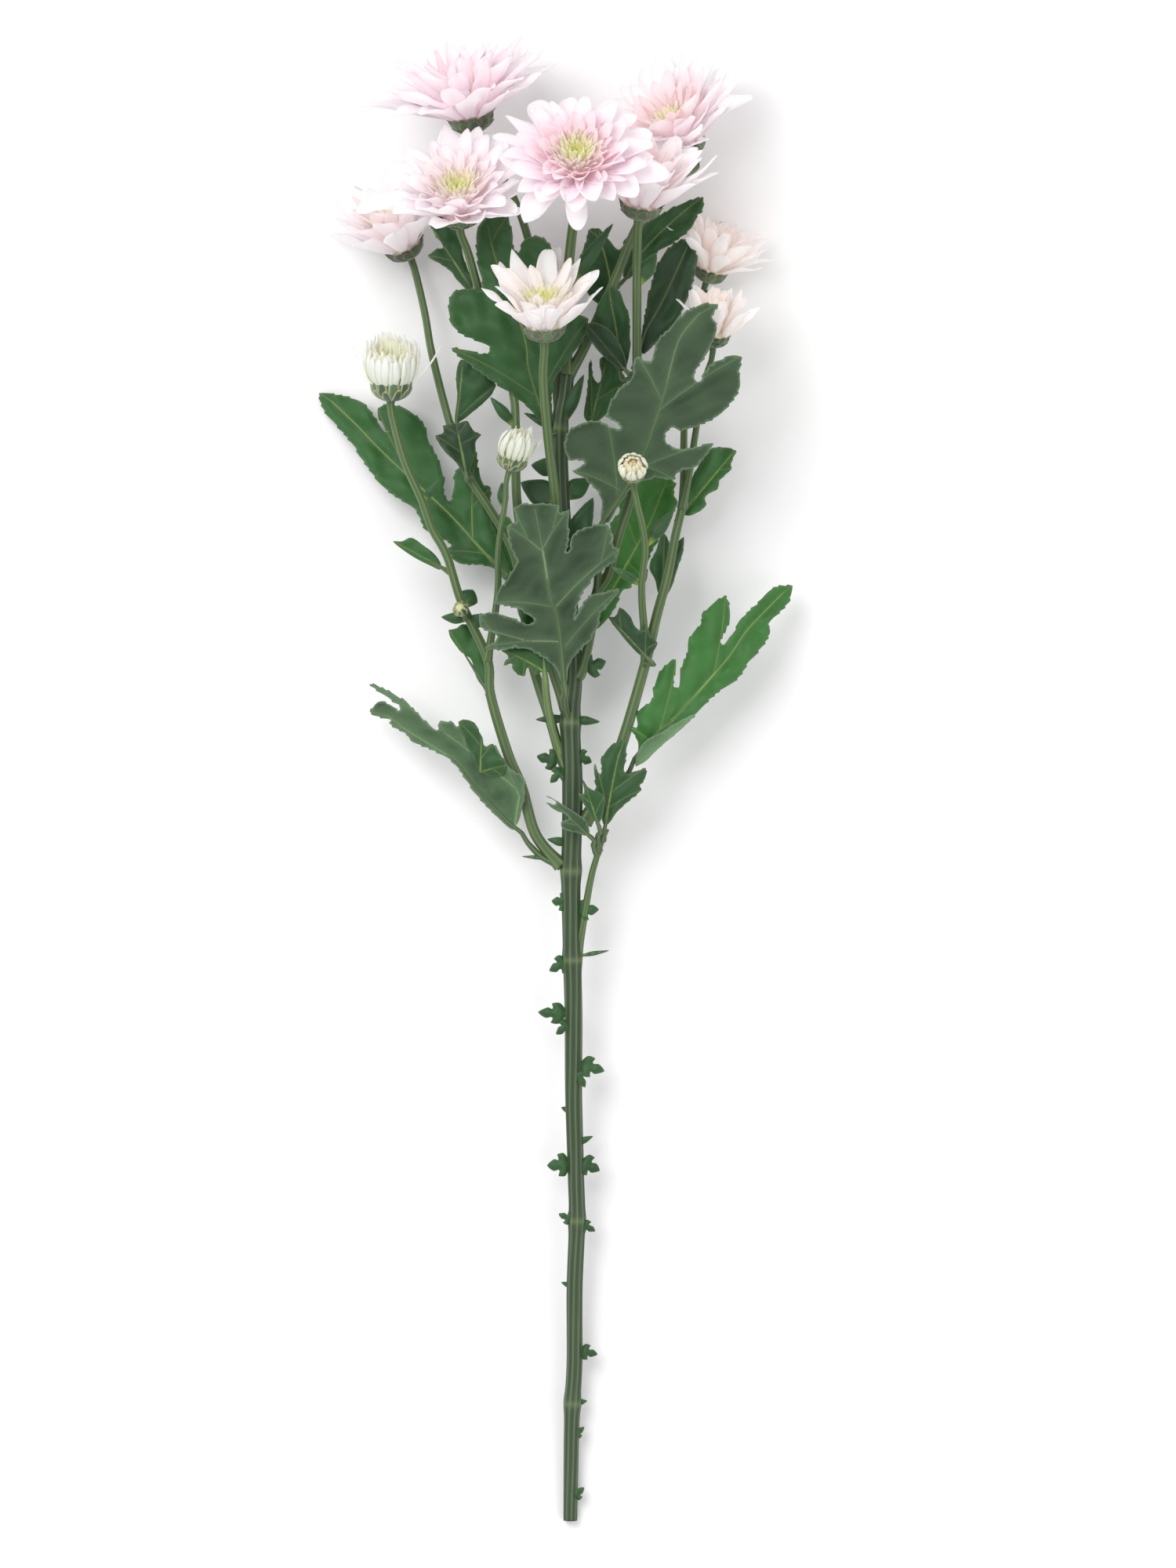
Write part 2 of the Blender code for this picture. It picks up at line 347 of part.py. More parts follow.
# Turned profiles of a flower, outer side first, as radius and height above the flower stalk
CALYX_PROFILE = [(0, 5.3), (8.2, 5.3), (9.5, 6.2), (9.2, 4.4), (6.6, 1.2), (2.4, 0), (0, 0)]
CORE_PROFILE = [(0, 10.6), (2.7, 10.6), (5.4, 8.8), (7.8, 6.8), (7.4, 5.7), (0, 5.7)]
EYE_PROFILE = [(0, 14.6), (1.3, 14.2), (2.3, 13.0), (2.6, 11.8), (2.2, 10.95), (0, 10.95)]
BUD_PROFILE = [(0, 7.0), (1.6, 6.7), (3.0, 5.4), (3.6, 3.8), (3.2, 2.0), (1.6, 0.4), (0, 0)]
CORE_SIDES = 8
BRACTS_ROUND = 5
BRACT_RELIEF = 0.6
RIM_HEIGHT = 5.5
RIM_RADIUS = 9.0
FLORET_RELIEF = 0.07
RING_ROOTS = [(5.6, 6.5), (4.8, 7.3), (3.8, 8.2), (3.0, 8.8)]

# Width of a petal along its length, as parts of its length and of its full width
LONG_STATIONS = [(0.0, 0.0), (0.45, 0.85), (0.84, 0.86), (1.0, 0.0)]
SHORT_STATIONS = [(0.0, 0.0), (0.7, 1.0), (1.0, 0.0)]
PETAL_CUP = 0.15

# Outlines of the small leaves on the stem, as parts of length and width
LEAFLETS = {
    "lobed": [(0, -0.14), (0.34, -0.5), (0.52, -0.2), (1, 0), (0.6, 0.22), (0.3, 0.5), (0, 0.14)],
    "narrow": [(0, -0.25), (0.5, -0.5), (1, 0), (0.5, 0.5), (0, 0.25)],
}

# Base colour and roughness of each material
MATERIALS = {
    "stem_green": ((0.12, 0.22, 0.10), 0.6),
    "leaf_upper": ((0.06, 0.20, 0.04), 0.5),
    "leaf_under": ((0.14, 0.24, 0.14), 0.7),
    "petal_pink": ((0.88, 0.68, 0.74), 0.5),
    "petal_pale": ((0.92, 0.84, 0.84), 0.5),
    "petal_ivory": ((0.90, 0.90, 0.78), 0.5),
    "calyx_green": ((0.16, 0.24, 0.08), 0.6),
    "eye_lime": ((0.60, 0.72, 0.12), 0.6),
}
UNDERSIDE_UP = ("leaf_front_right", "leaf_front_middle", "leaf_lower_left", "leaf_shoot_left")


def clear_scene():
    for obj in list(bpy.data.objects):
        bpy.data.objects.remove(obj, do_unlink=True)


def make_material(name):
    color, roughness = MATERIALS[name]
    material = bpy.data.materials.new(name)
    material.use_nodes = True
    shader = material.node_tree.nodes["Principled BSDF"]
    shader.inputs["Base Color"].default_value = (*color, 1.0)
    shader.inputs["Roughness"].default_value = roughness
    shader.inputs["Metallic"].default_value = 0.0
    return material


def new_object(name, mesh):
    obj = bpy.data.objects.new(name, mesh)
    bpy.context.scene.collection.objects.link(obj)
    return obj


def evaluated_mesh(obj):
    depsgraph = bpy.context.evaluated_depsgraph_get()
    return bpy.data.meshes.new_from_object(obj.evaluated_get(depsgraph))


def weld(mesh, distance):
    bm = bmesh.new()
    bm.from_mesh(mesh)
    bmesh.ops.remove_doubles(bm, verts=bm.verts, dist=distance)
    bm.to_mesh(mesh)
    bm.free()


def fuse(target, pieces, solver):
    """Joins the pieces to the target in one solid."""
    group = bpy.data.collections.new("fusing")
    bpy.context.scene.collection.children.link(group)
    for piece in pieces:
        bpy.context.scene.collection.objects.unlink(piece)
        group.objects.link(piece)
    modifier = target.modifiers.new("fuse", "BOOLEAN")
    modifier.operation = "UNION"
    modifier.operand_type = "COLLECTION"
    modifier.collection = group
    modifier.solver = solver
    mesh = evaluated_mesh(target)
    target.modifiers.clear()
    target.data = mesh
    for piece in pieces:
        bpy.data.objects.remove(piece, do_unlink=True)
    bpy.data.collections.remove(group)


def smooth_path(points, step):
    """Points along a smooth curve that passes through every point given."""
    points = [Vector(p) for p in points]
    path = [points[0]]
    for i in range(len(points) - 1):
        a = points[max(i - 1, 0)]
        b = points[i]
        c = points[i + 1]
        d = points[min(i + 2, len(points) - 1)]
        count = max(1, round((c - b).length / step))
        for k in range(1, count + 1):
            t = k / count
            path.append(0.5 * (2 * b + (c - a) * t + (2 * a - 5 * b + 4 * c - d) * t ** 2
                               + (3 * b - a - 3 * c + d) * t ** 3))
    return path


def tube(name, path, radii, resolution):
    curve = bpy.data.curves.new(name, "CURVE")
    curve.dimensions = "3D"
    curve.bevel_depth = MM
    curve.bevel_resolution = resolution
    curve.use_fill_caps = True
    spline = curve.splines.new("POLY")
    spline.points.add(len(path) - 1)
    for spot, place, radius in zip(spline.points, path, radii):
        spot.co = (*(place * MM), 1.0)
        spot.radius = radius
    guide = new_object(name, curve)
    mesh = evaluated_mesh(guide)
    bpy.data.objects.remove(guide, do_unlink=True)
    weld(mesh, 0.01 * MM)
    return new_object(name, mesh)


def turned(name, profile, steps):
    """A solid of revolution about Z, its profile given from the top down along its outer side."""
    mesh = bpy.data.meshes.new(name)
    mesh.from_pydata([(r * MM, 0, h * MM) for r, h in profile],
                     [(i, i + 1) for i in range(len(profile) - 1)], [])
    obj = new_object(name, mesh)
    screw = obj.modifiers.new("turn", "SCREW")
    screw.steps = steps
    screw.render_steps = steps
    screw.use_merge_vertices = True
    screw.merge_threshold = 0.00001
    obj.data = evaluated_mesh(obj)
    obj.modifiers.clear()
    return obj


def interpolate(table, at):
    for (x0, y0), (x1, y1) in zip(table, table[1:]):
        if at <= x1:
            return y0 + (y1 - y0) * max(0.0, (at - x0) / (x1 - x0))
    return table[-1][1]


def stem_radius(y):
    swelling = max(math.exp(-((y - node) / NODE_REACH) ** 2) for node in STEM_NODES)
    return interpolate(STEM_RADIUS, y) * (1 + (NODE_SWELLING - 1) * swelling)


def facing(spec):
    return Vector(spec["face"]).normalized()


def flower_matrix(spec):
    """Places a flower, modelled along Z in millimetres, at the end of its stalk."""
    axis = facing(spec)
    right = (Vector((1, 0, 0)) - axis * axis.x).normalized()
    ahead = axis.cross(right)
    turn = Matrix((right, ahead, axis)).transposed().to_4x4()
    return Matrix.Translation(Vector(spec["at"]) * MM) @ turn


def stem_paths():
    """Centre line and radii of the stem and of every branch that ends in a flower or bud."""
    routes = {name: list(points) for name, points in ROUTES.items()}
    ends = {spec["stalk"]: spec for spec in BLOOMS.values()}
    ends["stalk_m"] = TINY_BUD
    for name, spec in ends.items():
        base = Vector(spec["at"])
        reach = TINY_STALK_RUN if name == "stalk_m" else STALK_RUN
        routes[name].append(tuple(base - facing(spec) * reach))
        routes[name].append(tuple(base - facing(spec) * SEAT_GAP))
    paths = {}
    for name, points in routes.items():
        path = smooth_path(points, PATH_STEP)
        if name == "main":
            radii = [stem_radius(p.y) for p in path]
        else:
            root, end = BRANCH_RADII[name]
            radii = [root + (end - root) * i / (len(path) - 1) for i in range(len(path))]
        paths[name] = (path, radii)
    return paths


def nearest_on_paths(paths, place):
    """The nearest point of any centre line, where a small leaf or leaf stalk is rooted."""
    best = None
    for path, _ in paths.values():
        for a, b in zip(path, path[1:]):
            t = max(0.0, min(1.0, (place - a).dot(b - a) / (b - a).length_squared))
            spot = a.lerp(b, t)
            if best is None or (spot - place).length < (best - place).length:
                best = spot
    return best


def leaf_frame(spec):
    """Base point, direction and length of a leaf in plan."""
    first = Vector(spec["outline"][0])
    last = Vector(spec["outline"][-1])
    base = (first + last) / 2
    along = Vector(spec["tip"]) - base
    return base, along.normalized(), along.length


def leaf_height(spec, x, y):
    """Height of a leaf's middle surface above the table at a place in plan."""
    base, along, length = leaf_frame(spec)
    offset = Vector((x, y)) - base
    t = max(-0.1, min(1.1, offset.dot(along) / length))
    side = along.x * offset.y - along.y * offset.x
    start, middle, end = spec["rise"]
    control = 2 * middle - (start + end) / 2
    rib = start * (1 - t) ** 2 + 2 * control * t * (1 - t) + end * t ** 2
    rise = math.sqrt(side ** 2 + RIB_SOFTNESS ** 2) - RIB_SOFTNESS
    return rib + spec["fold"] * rise + spec["tilt"] * side


def leaf_stalk_points(spec):
    """Route of a leaf stalk, which ends just short of the blade in line with its midrib."""
    base, along, _ = leaf_frame(spec)
    corners = (Vector(spec["outline"][0]), Vector(spec["outline"][-1]))
    behind = max((base - corner).dot(along) for corner in corners)
    points = [Vector(p) for p in spec["stalk"]]
    for reach in (LEAF_STALK_RUN, SEAT_GAP):
        spot = base - along * (behind + reach)
        points.append(Vector((spot.x, spot.y, leaf_height(spec, *base))))
    return points


def thinned(path, radii, tolerance):
    """The path without points that lie close to a straight line between their neighbours."""
    keep = [0]
    for i in range(1, len(path) - 1):
        a = path[keep[-1]]
        line = path[i + 1] - a
        worst = max((p - a - line * ((p - a).dot(line) / line.length_squared)).length
                    for p in path[keep[-1] + 1:i + 1])
        if worst > tolerance or i >= len(path) - 2:
            keep.append(i)
    keep.append(len(path) - 1)
    return [path[i] for i in keep], [radii[i] for i in keep]


def leaf(name, spec):
    """A lobed blade: its outline, cut along the midrib, bent to its height and thickened."""
    bm = bmesh.new()
    bm.faces.new([bm.verts.new((x * MM, y * MM, 0)) for x, y in spec["outline"]])
    bmesh.ops.triangulate(bm, faces=bm.faces)
    base, along, _ = leaf_frame(spec)
    bmesh.ops.bisect_plane(bm, geom=bm.verts[:] + bm.edges[:] + bm.faces[:], dist=0.1 * MM,
                           plane_co=(base.x * MM, base.y * MM, 0), plane_no=(-along.y, along.x, 0))
    bmesh.ops.triangulate(bm, faces=bm.faces)
    bmesh.ops.remove_doubles(bm, verts=bm.verts, dist=0.3 * MM)
    for vert in bm.verts:
        vert.co.z = leaf_height(spec, vert.co.x / MM, vert.co.y / MM) * MM
    bmesh.ops.recalc_face_normals(bm, faces=bm.faces)
    mesh = bpy.data.meshes.new(name)
    bm.to_mesh(mesh)
    bm.free()
    obj = new_object(name, mesh)
    solidify = obj.modifiers.new("thickness", "SOLIDIFY")
    solidify.thickness = LEAF_THICKNESS * MM
    solidify.offset = 0
    obj.data = evaluated_mesh(obj)
    obj.modifiers.clear()
    return obj


def leaflet(name, kind, root, tip, width):
    """A small leaf or bract from its root inside the stem to its tip."""
    along = tip - root
    side = along.cross(Vector((0, 0, 1))).normalized()
    normal = side.cross(along).normalized()
    bm = bmesh.new()
    corners = [root + along * u + side * v * width for u, v in LEAFLETS[kind]]
    lower = [bm.verts.new((p - normal * LEAF_THICKNESS / 2) * MM) for p in corners]
    face = bm.faces.new(lower)
    extruded = bmesh.ops.extrude_face_region(bm, geom=[face])
    top = [item for item in extruded["geom"] if isinstance(item, bmesh.types.BMVert)]
    bmesh.ops.translate(bm, verts=top, vec=normal * LEAF_THICKNESS * MM)
    bmesh.ops.triangulate(bm, faces=bm.faces)
    bmesh.ops.recalc_face_normals(bm, faces=bm.faces)
    mesh = bpy.data.meshes.new(name)
    bm.to_mesh(mesh)
    bm.free()
    return new_object(name, mesh)


def stem():
    """Main stem, branches, flower stalks, leaf stalks and small leaves, grown as one piece."""
    paths = stem_paths()
    tubes = []
    for name, (path, radii) in paths.items():
        slack = STEM_TOLERANCE if name == "main" else PATH_TOLERANCE
        tubes.append(tube(name, *thinned(path, radii, slack), 2 if name == "main" else 1))
    for name, spec in LEAVES.items():
        points = leaf_stalk_points(spec)
        points[0] = nearest_on_paths(paths, points[0])
        path = smooth_path(points, PATH_STEP)
        radius = STALK_RADIUS if leaf_frame(spec)[2] < LARGE_LEAF else LARGE_STALK_RADIUS
        tubes.append(tube(name + "_stalk", *thinned(path, [radius] * len(path), PATH_TOLERANCE), 0))
    for number, (kind, root, tip, width) in enumerate(STUBS + [("narrow", *bract) for bract in BRACTS]):
        start = nearest_on_paths(paths, Vector(root))
        tubes.append(leaflet(f"leaflet_{number}", kind, start, Vector(tip), width))
    body = tubes[0]
    body.name = "stem"
    fuse(body, tubes[1:], "MANIFOLD")
    return body


def petal(name, root, azimuth, tilts, length, width, stations):
    """One ray petal: a cupped blade, narrow at its root and tip, that bends outwards or inwards."""
    outward = Vector((math.cos(azimuth), math.sin(azimuth), 0))
    side = Vector((-math.sin(azimuth), math.cos(azimuth), 0))
    axis = Vector((0, 0, 1))
    first, last = (math.radians(angle) for angle in tilts)
    centre = outward * root[0] + axis * root[1]
    before = 0.0
    bm = bmesh.new()
    rows = []
    for part, breadth in stations:
        middle = first + (last - first) * (part + before) / 2
        centre = centre + (axis * math.cos(middle) + outward * math.sin(middle)) * length * (part - before)
        before = part
        tilt = first + (last - first) * part
        inner = axis * math.sin(tilt) - outward * math.cos(tilt)
        half = width * breadth / 2
        spots = [centre]
        if half:
            edge = inner * half * PETAL_CUP * 2
            spots = [centre - side * half + edge, centre, centre + side * half + edge]
        thick = inner * PETAL_THICKNESS / 2
        rows.append([[bm.verts.new((p + thick * way) * MM) for p in spots] for way in (1, -1)])
    for (upper_a, lower_a), (upper_b, lower_b) in zip(rows, rows[1:]):
        for row_a, row_b in ((upper_a, upper_b), (lower_a, lower_b)):
            join_rows(bm, row_a, row_b)
        for edge in (0, -1):
            bm.faces.new((upper_a[edge], upper_b[edge], lower_b[edge], lower_a[edge]))
    bmesh.ops.recalc_face_normals(bm, faces=bm.faces)
    mesh = bpy.data.meshes.new(name)
    bm.to_mesh(mesh)
    bm.free()
    return new_object(name, mesh)


def join_rows(bm, row_a, row_b):
    """Faces between two rows across a petal, each a single point or three points."""
    for k in range(2):
        corners = []
        for vert in (row_a[min(k, len(row_a) - 1)], row_a[min(k + 1, len(row_a) - 1)],
                     row_b[min(k + 1, len(row_b) - 1)], row_b[min(k, len(row_b) - 1)]):
            if vert not in corners:
                corners.append(vert)
        bm.faces.new(corners)


def scaled(profile, size):
    return [(r * size, h * size) for r, h in profile]


def bloom_petals(letter, spec):
    """All ray petals of one flower, fused on the small core that carries them."""
    rng = random.Random(SEED + ord(letter))
    size = spec["size"]
    core = turned(f"petals_{letter}", scaled(CORE_PROFILE, size), CORE_SIDES)
    petals = []
    if not spec["rings"]:
        ripple(core)
    for order, (count, first, last, length, width) in enumerate(spec["rings"]):
        radius, height = RING_ROOTS[order]
        stations = LONG_STATIONS if order == 0 and length > 20 else SHORT_STATIONS
        for k in range(count):
            azimuth = 2 * math.pi * (k + 0.5 * (order % 2) + rng.uniform(-0.12, 0.12)) / count
            tip = last + rng.uniform(-5, 5)
            reach = length * rng.uniform(0.93, 1.0) * (1 + spec["reach"] * math.sin(azimuth))
            root = ((radius + rng.uniform(-0.1, 0.1)) * size, (height + rng.uniform(-0.1, 0.1)) * size)
            name = f"petal_{letter}_{order}_{k}"
            petals.append(petal(name, root, azimuth, (first, tip), reach, width, stations))
    if petals:
        fuse(core, petals, "EXACT")
    core.data.transform(flower_matrix(spec))
    return core


def calyx(letter, spec):
    """The green cup of overlapping bracts under a flower."""
    size = spec["size"]
    cup = turned(f"calyx_{letter}", scaled(CALYX_PROFILE, size), 2 * BRACTS_ROUND)
    for vert in cup.data.vertices:
        radius = math.hypot(vert.co.x, vert.co.y) / MM / size
        if vert.co.z / MM / size > RIM_HEIGHT and radius > RIM_RADIUS:
            turn = math.atan2(vert.co.y, vert.co.x)
            vert.co.z += math.cos(BRACTS_ROUND * turn) * BRACT_RELIEF * MM * size
    cup.data.transform(flower_matrix(spec))
    return cup


def ripple(dome):
    """Florets or closed petals as relief on a dome."""
    for vert in dome.data.vertices:
        turn = math.atan2(vert.co.y, vert.co.x)
        swell = 1 + FLORET_RELIEF * math.cos(5 * turn + vert.co.z / MM)
        vert.co.x *= swell
        vert.co.y *= swell


def eye(letter, spec):
    """The yellow-green middle of a flower, with its florets as relief."""
    dome = turned(f"eye_{letter}", scaled(EYE_PROFILE, spec["size"]), CORE_SIDES)
    ripple(dome)
    dome.data.transform(flower_matrix(spec))
    return dome


def tiny_bud():
    bud = turned("bud_m", scaled(BUD_PROFILE, TINY_BUD["size"]), CORE_SIDES)
    bud.data.transform(flower_matrix(TINY_BUD))
    return bud


def petal_material(letter):
    if letter in IVORY_BUDS:
        return "petal_ivory"
    return "petal_pale" if letter in PALE_BLOOMS else "petal_pink"


def finish(obj, material, collection):
    """Gives a piece its material, collection and place in the centred frame."""
    obj.data.transform(Matrix.Translation((-CENTRE[0] * MM, -CENTRE[1] * MM, 0)))
    obj.data.name = obj.name
    obj.data.materials.clear()
    obj.data.materials.append(material)
    obj.data.shade_smooth()
    obj.data.set_sharp_from_angle(angle=math.radians(SHARP_ANGLE))
    bpy.context.scene.collection.objects.unlink(obj)
    collection.objects.link(obj)


def build():
    clear_scene()
    collection = bpy.data.collections.new("spray_chrysanthemum")
    bpy.context.scene.collection.children.link(collection)
    materials = {name: make_material(name) for name in MATERIALS}
    finish(stem(), materials["stem_green"], collection)
    for name, spec in LEAVES.items():
        side = "leaf_under" if name in UNDERSIDE_UP else "leaf_upper"
        finish(leaf(name, spec), materials[side], collection)
    for letter, spec in BLOOMS.items():
        finish(bloom_petals(letter, spec), materials[petal_material(letter)], collection)
        finish(calyx(letter, spec), materials["calyx_green"], collection)
        if spec["eye"]:
            finish(eye(letter, spec), materials["eye_lime"], collection)
    finish(tiny_bud(), materials["calyx_green"], collection)


build()
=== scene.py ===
"""Looks of a cut spray chrysanthemum that lies on a pale surface, seen from above.

Places are in millimetres from the cut end of the stem, +Y towards the flowers and +Z up from the surface.
"""
import math
import random

import bpy
import numpy as np
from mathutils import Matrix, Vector
from mathutils.geometry import delaunay_2d_cdt


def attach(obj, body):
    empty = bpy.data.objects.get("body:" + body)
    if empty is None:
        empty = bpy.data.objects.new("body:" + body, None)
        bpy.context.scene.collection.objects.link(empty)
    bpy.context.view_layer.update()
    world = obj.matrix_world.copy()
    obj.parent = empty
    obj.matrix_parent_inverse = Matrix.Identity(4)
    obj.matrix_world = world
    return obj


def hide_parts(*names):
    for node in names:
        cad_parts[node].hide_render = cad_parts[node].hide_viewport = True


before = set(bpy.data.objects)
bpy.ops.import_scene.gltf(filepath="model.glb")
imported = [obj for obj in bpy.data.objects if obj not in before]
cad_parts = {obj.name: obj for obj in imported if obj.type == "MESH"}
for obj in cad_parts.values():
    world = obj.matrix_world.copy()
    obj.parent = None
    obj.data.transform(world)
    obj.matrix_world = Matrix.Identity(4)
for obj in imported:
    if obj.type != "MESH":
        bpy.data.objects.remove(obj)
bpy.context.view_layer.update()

MM = 0.001
CENTRE = (-7.5, 322.5)
SEED = 11

# Radii of leaf stalks, the length of blade from which they are thicker, how far flower and leaf stalks run
# straight before they meet what they carry, and how softly a blade bends at its midrib
STALK_RADIUS = 1.1
LARGE_STALK_RADIUS = 1.5
LARGE_LEAF = 50.0
STALK_RUN = 6.0
TINY_STALK_RUN = 2.0
LEAF_STALK_RUN = 4.0
RIB_SOFTNESS = 2.0

# Radius of the main stem at a distance from its cut end, and the nodes where it swells
STEM_RADIUS = [(0, 3.0), (50, 3.4), (150, 3.5), (245, 3.9), (320, 4.4), (350, 4.2), (373, 3.6), (500, 3.3)]
STEM_NODES = [51.5, 131.5, 245.5, 284.5, 349, 476.5]
NODE_SWELLING = 1.14
NODE_REACH = 4.0

# Centre lines of the stem and of its branches and flower stalks, cut end first
ROUTES = {
    "main": [(-1, 0, 3), (-0.5, 33, 6), (0, 51.5, 8.5), (1, 70.5, 10), (1, 101, 12.5),
        (2, 131.5, 15), (1.5, 152, 16.5), (0.5, 186, 19), (0.5, 220, 22), (0, 245.5, 24),
        (-0.5, 271, 26), (-0.5, 284.5, 27), (0, 322, 30), (-1, 349, 32), (0.5, 373, 33.5),
        (-2, 410.5, 37), (-4.5, 444.5, 40), (-5.5, 476.5, 42.5), (-3.5, 490.5, 43.5),
        (-2.5, 500, 44.5)],
    "branch_j": [(-5, 286.5, 27), (-16, 300, 28), (-22, 320.5, 29), (-28, 335, 30),
        (-35.5, 360.5, 35), (-37, 376.5, 36), (-48, 400.5, 38), (-54.5, 421, 39),
        (-61, 433, 40), (-65.5, 445.5, 41), (-73, 462.5, 43)],
    "branch_k": [(-37, 375.5, 36), (-32.5, 403.5, 45), (-32, 424, 52), (-29, 444, 60)],
    "branch_f": [(-2.5, 329.5, 30), (-6, 337.5, 29.5), (-10, 351, 29), (-15, 366, 28.5),
        (-18.5, 379, 28), (-21, 397, 28.5), (-24, 417.5, 30), (-29, 430, 31),
        (-36.5, 442.5, 32), (-46, 457.5, 33), (-53.5, 479.5, 33), (-61, 508.5, 26),
        (-64.5, 528, 17)],
    "branch_b": [(-2.5, 354.5, 33), (-9, 373, 36), (-13.5, 390, 40), (-19.5, 417, 44),
        (-24, 444.5, 48), (-24.5, 475, 50), (-25.5, 490.5, 50), (-30.5, 509, 50),
        (-40, 534.5, 53), (-45, 551.5, 60)],
    "branch_a": [(-5, 471.5, 42), (-6, 485, 42.5), (-8.5, 509, 43), (-13.5, 536, 43),
        (-19, 558, 43), (-24, 573, 43), (-30.5, 585.5, 43)],
    "branch_h": [(-5, 422.5, 38), (-6.5, 434, 46), (-7, 443.5, 51), (-10.5, 471.5, 65),
        (-12.5, 495.5, 77)],
    "branch_c": [(-2.5, 499, 44), (-2.5, 526, 48), (-2, 541.5, 53), (-0.5, 556.5, 65)],
    "branch_d": [(-3, 497, 44), (5, 511, 44), (18, 539.5, 43), (28, 563.5, 43), (41, 582, 42)],
    "branch_e": [(2.5, 369, 34), (4, 371.5, 35), (7, 383, 36), (11, 404.5, 38), (15.5, 413, 40),
        (20.5, 431, 43), (26, 449.5, 46), (28, 471.5, 48), (28, 507, 51), (28, 543, 54)],
    "branch_right": [(5, 305, 29), (9, 312, 29.5), (15.5, 325.5, 31), (22, 341, 33), (32, 375.5, 38),
        (36.5, 394.5, 40), (41.5, 413, 40), (44.5, 428.5, 38), (48, 443.5, 36)],
    "branch_i": [(47.5, 441.5, 36.5), (51, 458, 38), (53.5, 474.5, 41), (57, 495.5, 45)],
    "branch_g": [(48, 441.5, 36), (48.5, 458, 33), (48.5, 471.5, 30), (49.5, 505.5, 20),
        (52.5, 529.5, 13)],
    "branch_l": [(32, 374.5, 38), (31.5, 382.5, 41), (31, 390.5, 44), (30, 407, 58),
        (31.5, 425.5, 71), (28, 442.5, 81)],
    "branch_n": [(-3.5, 492, 43.5), (-5.5, 502, 42), (-6.5, 519, 40), (-6.5, 531, 39)],
    "stalk_m": [(-46, 394, 38)],
    "shoot": [(2, 245, 24), (7.5, 278, 29), (11, 291.5, 33), (13.5, 299, 36), (15, 302.5, 36.5)],
}

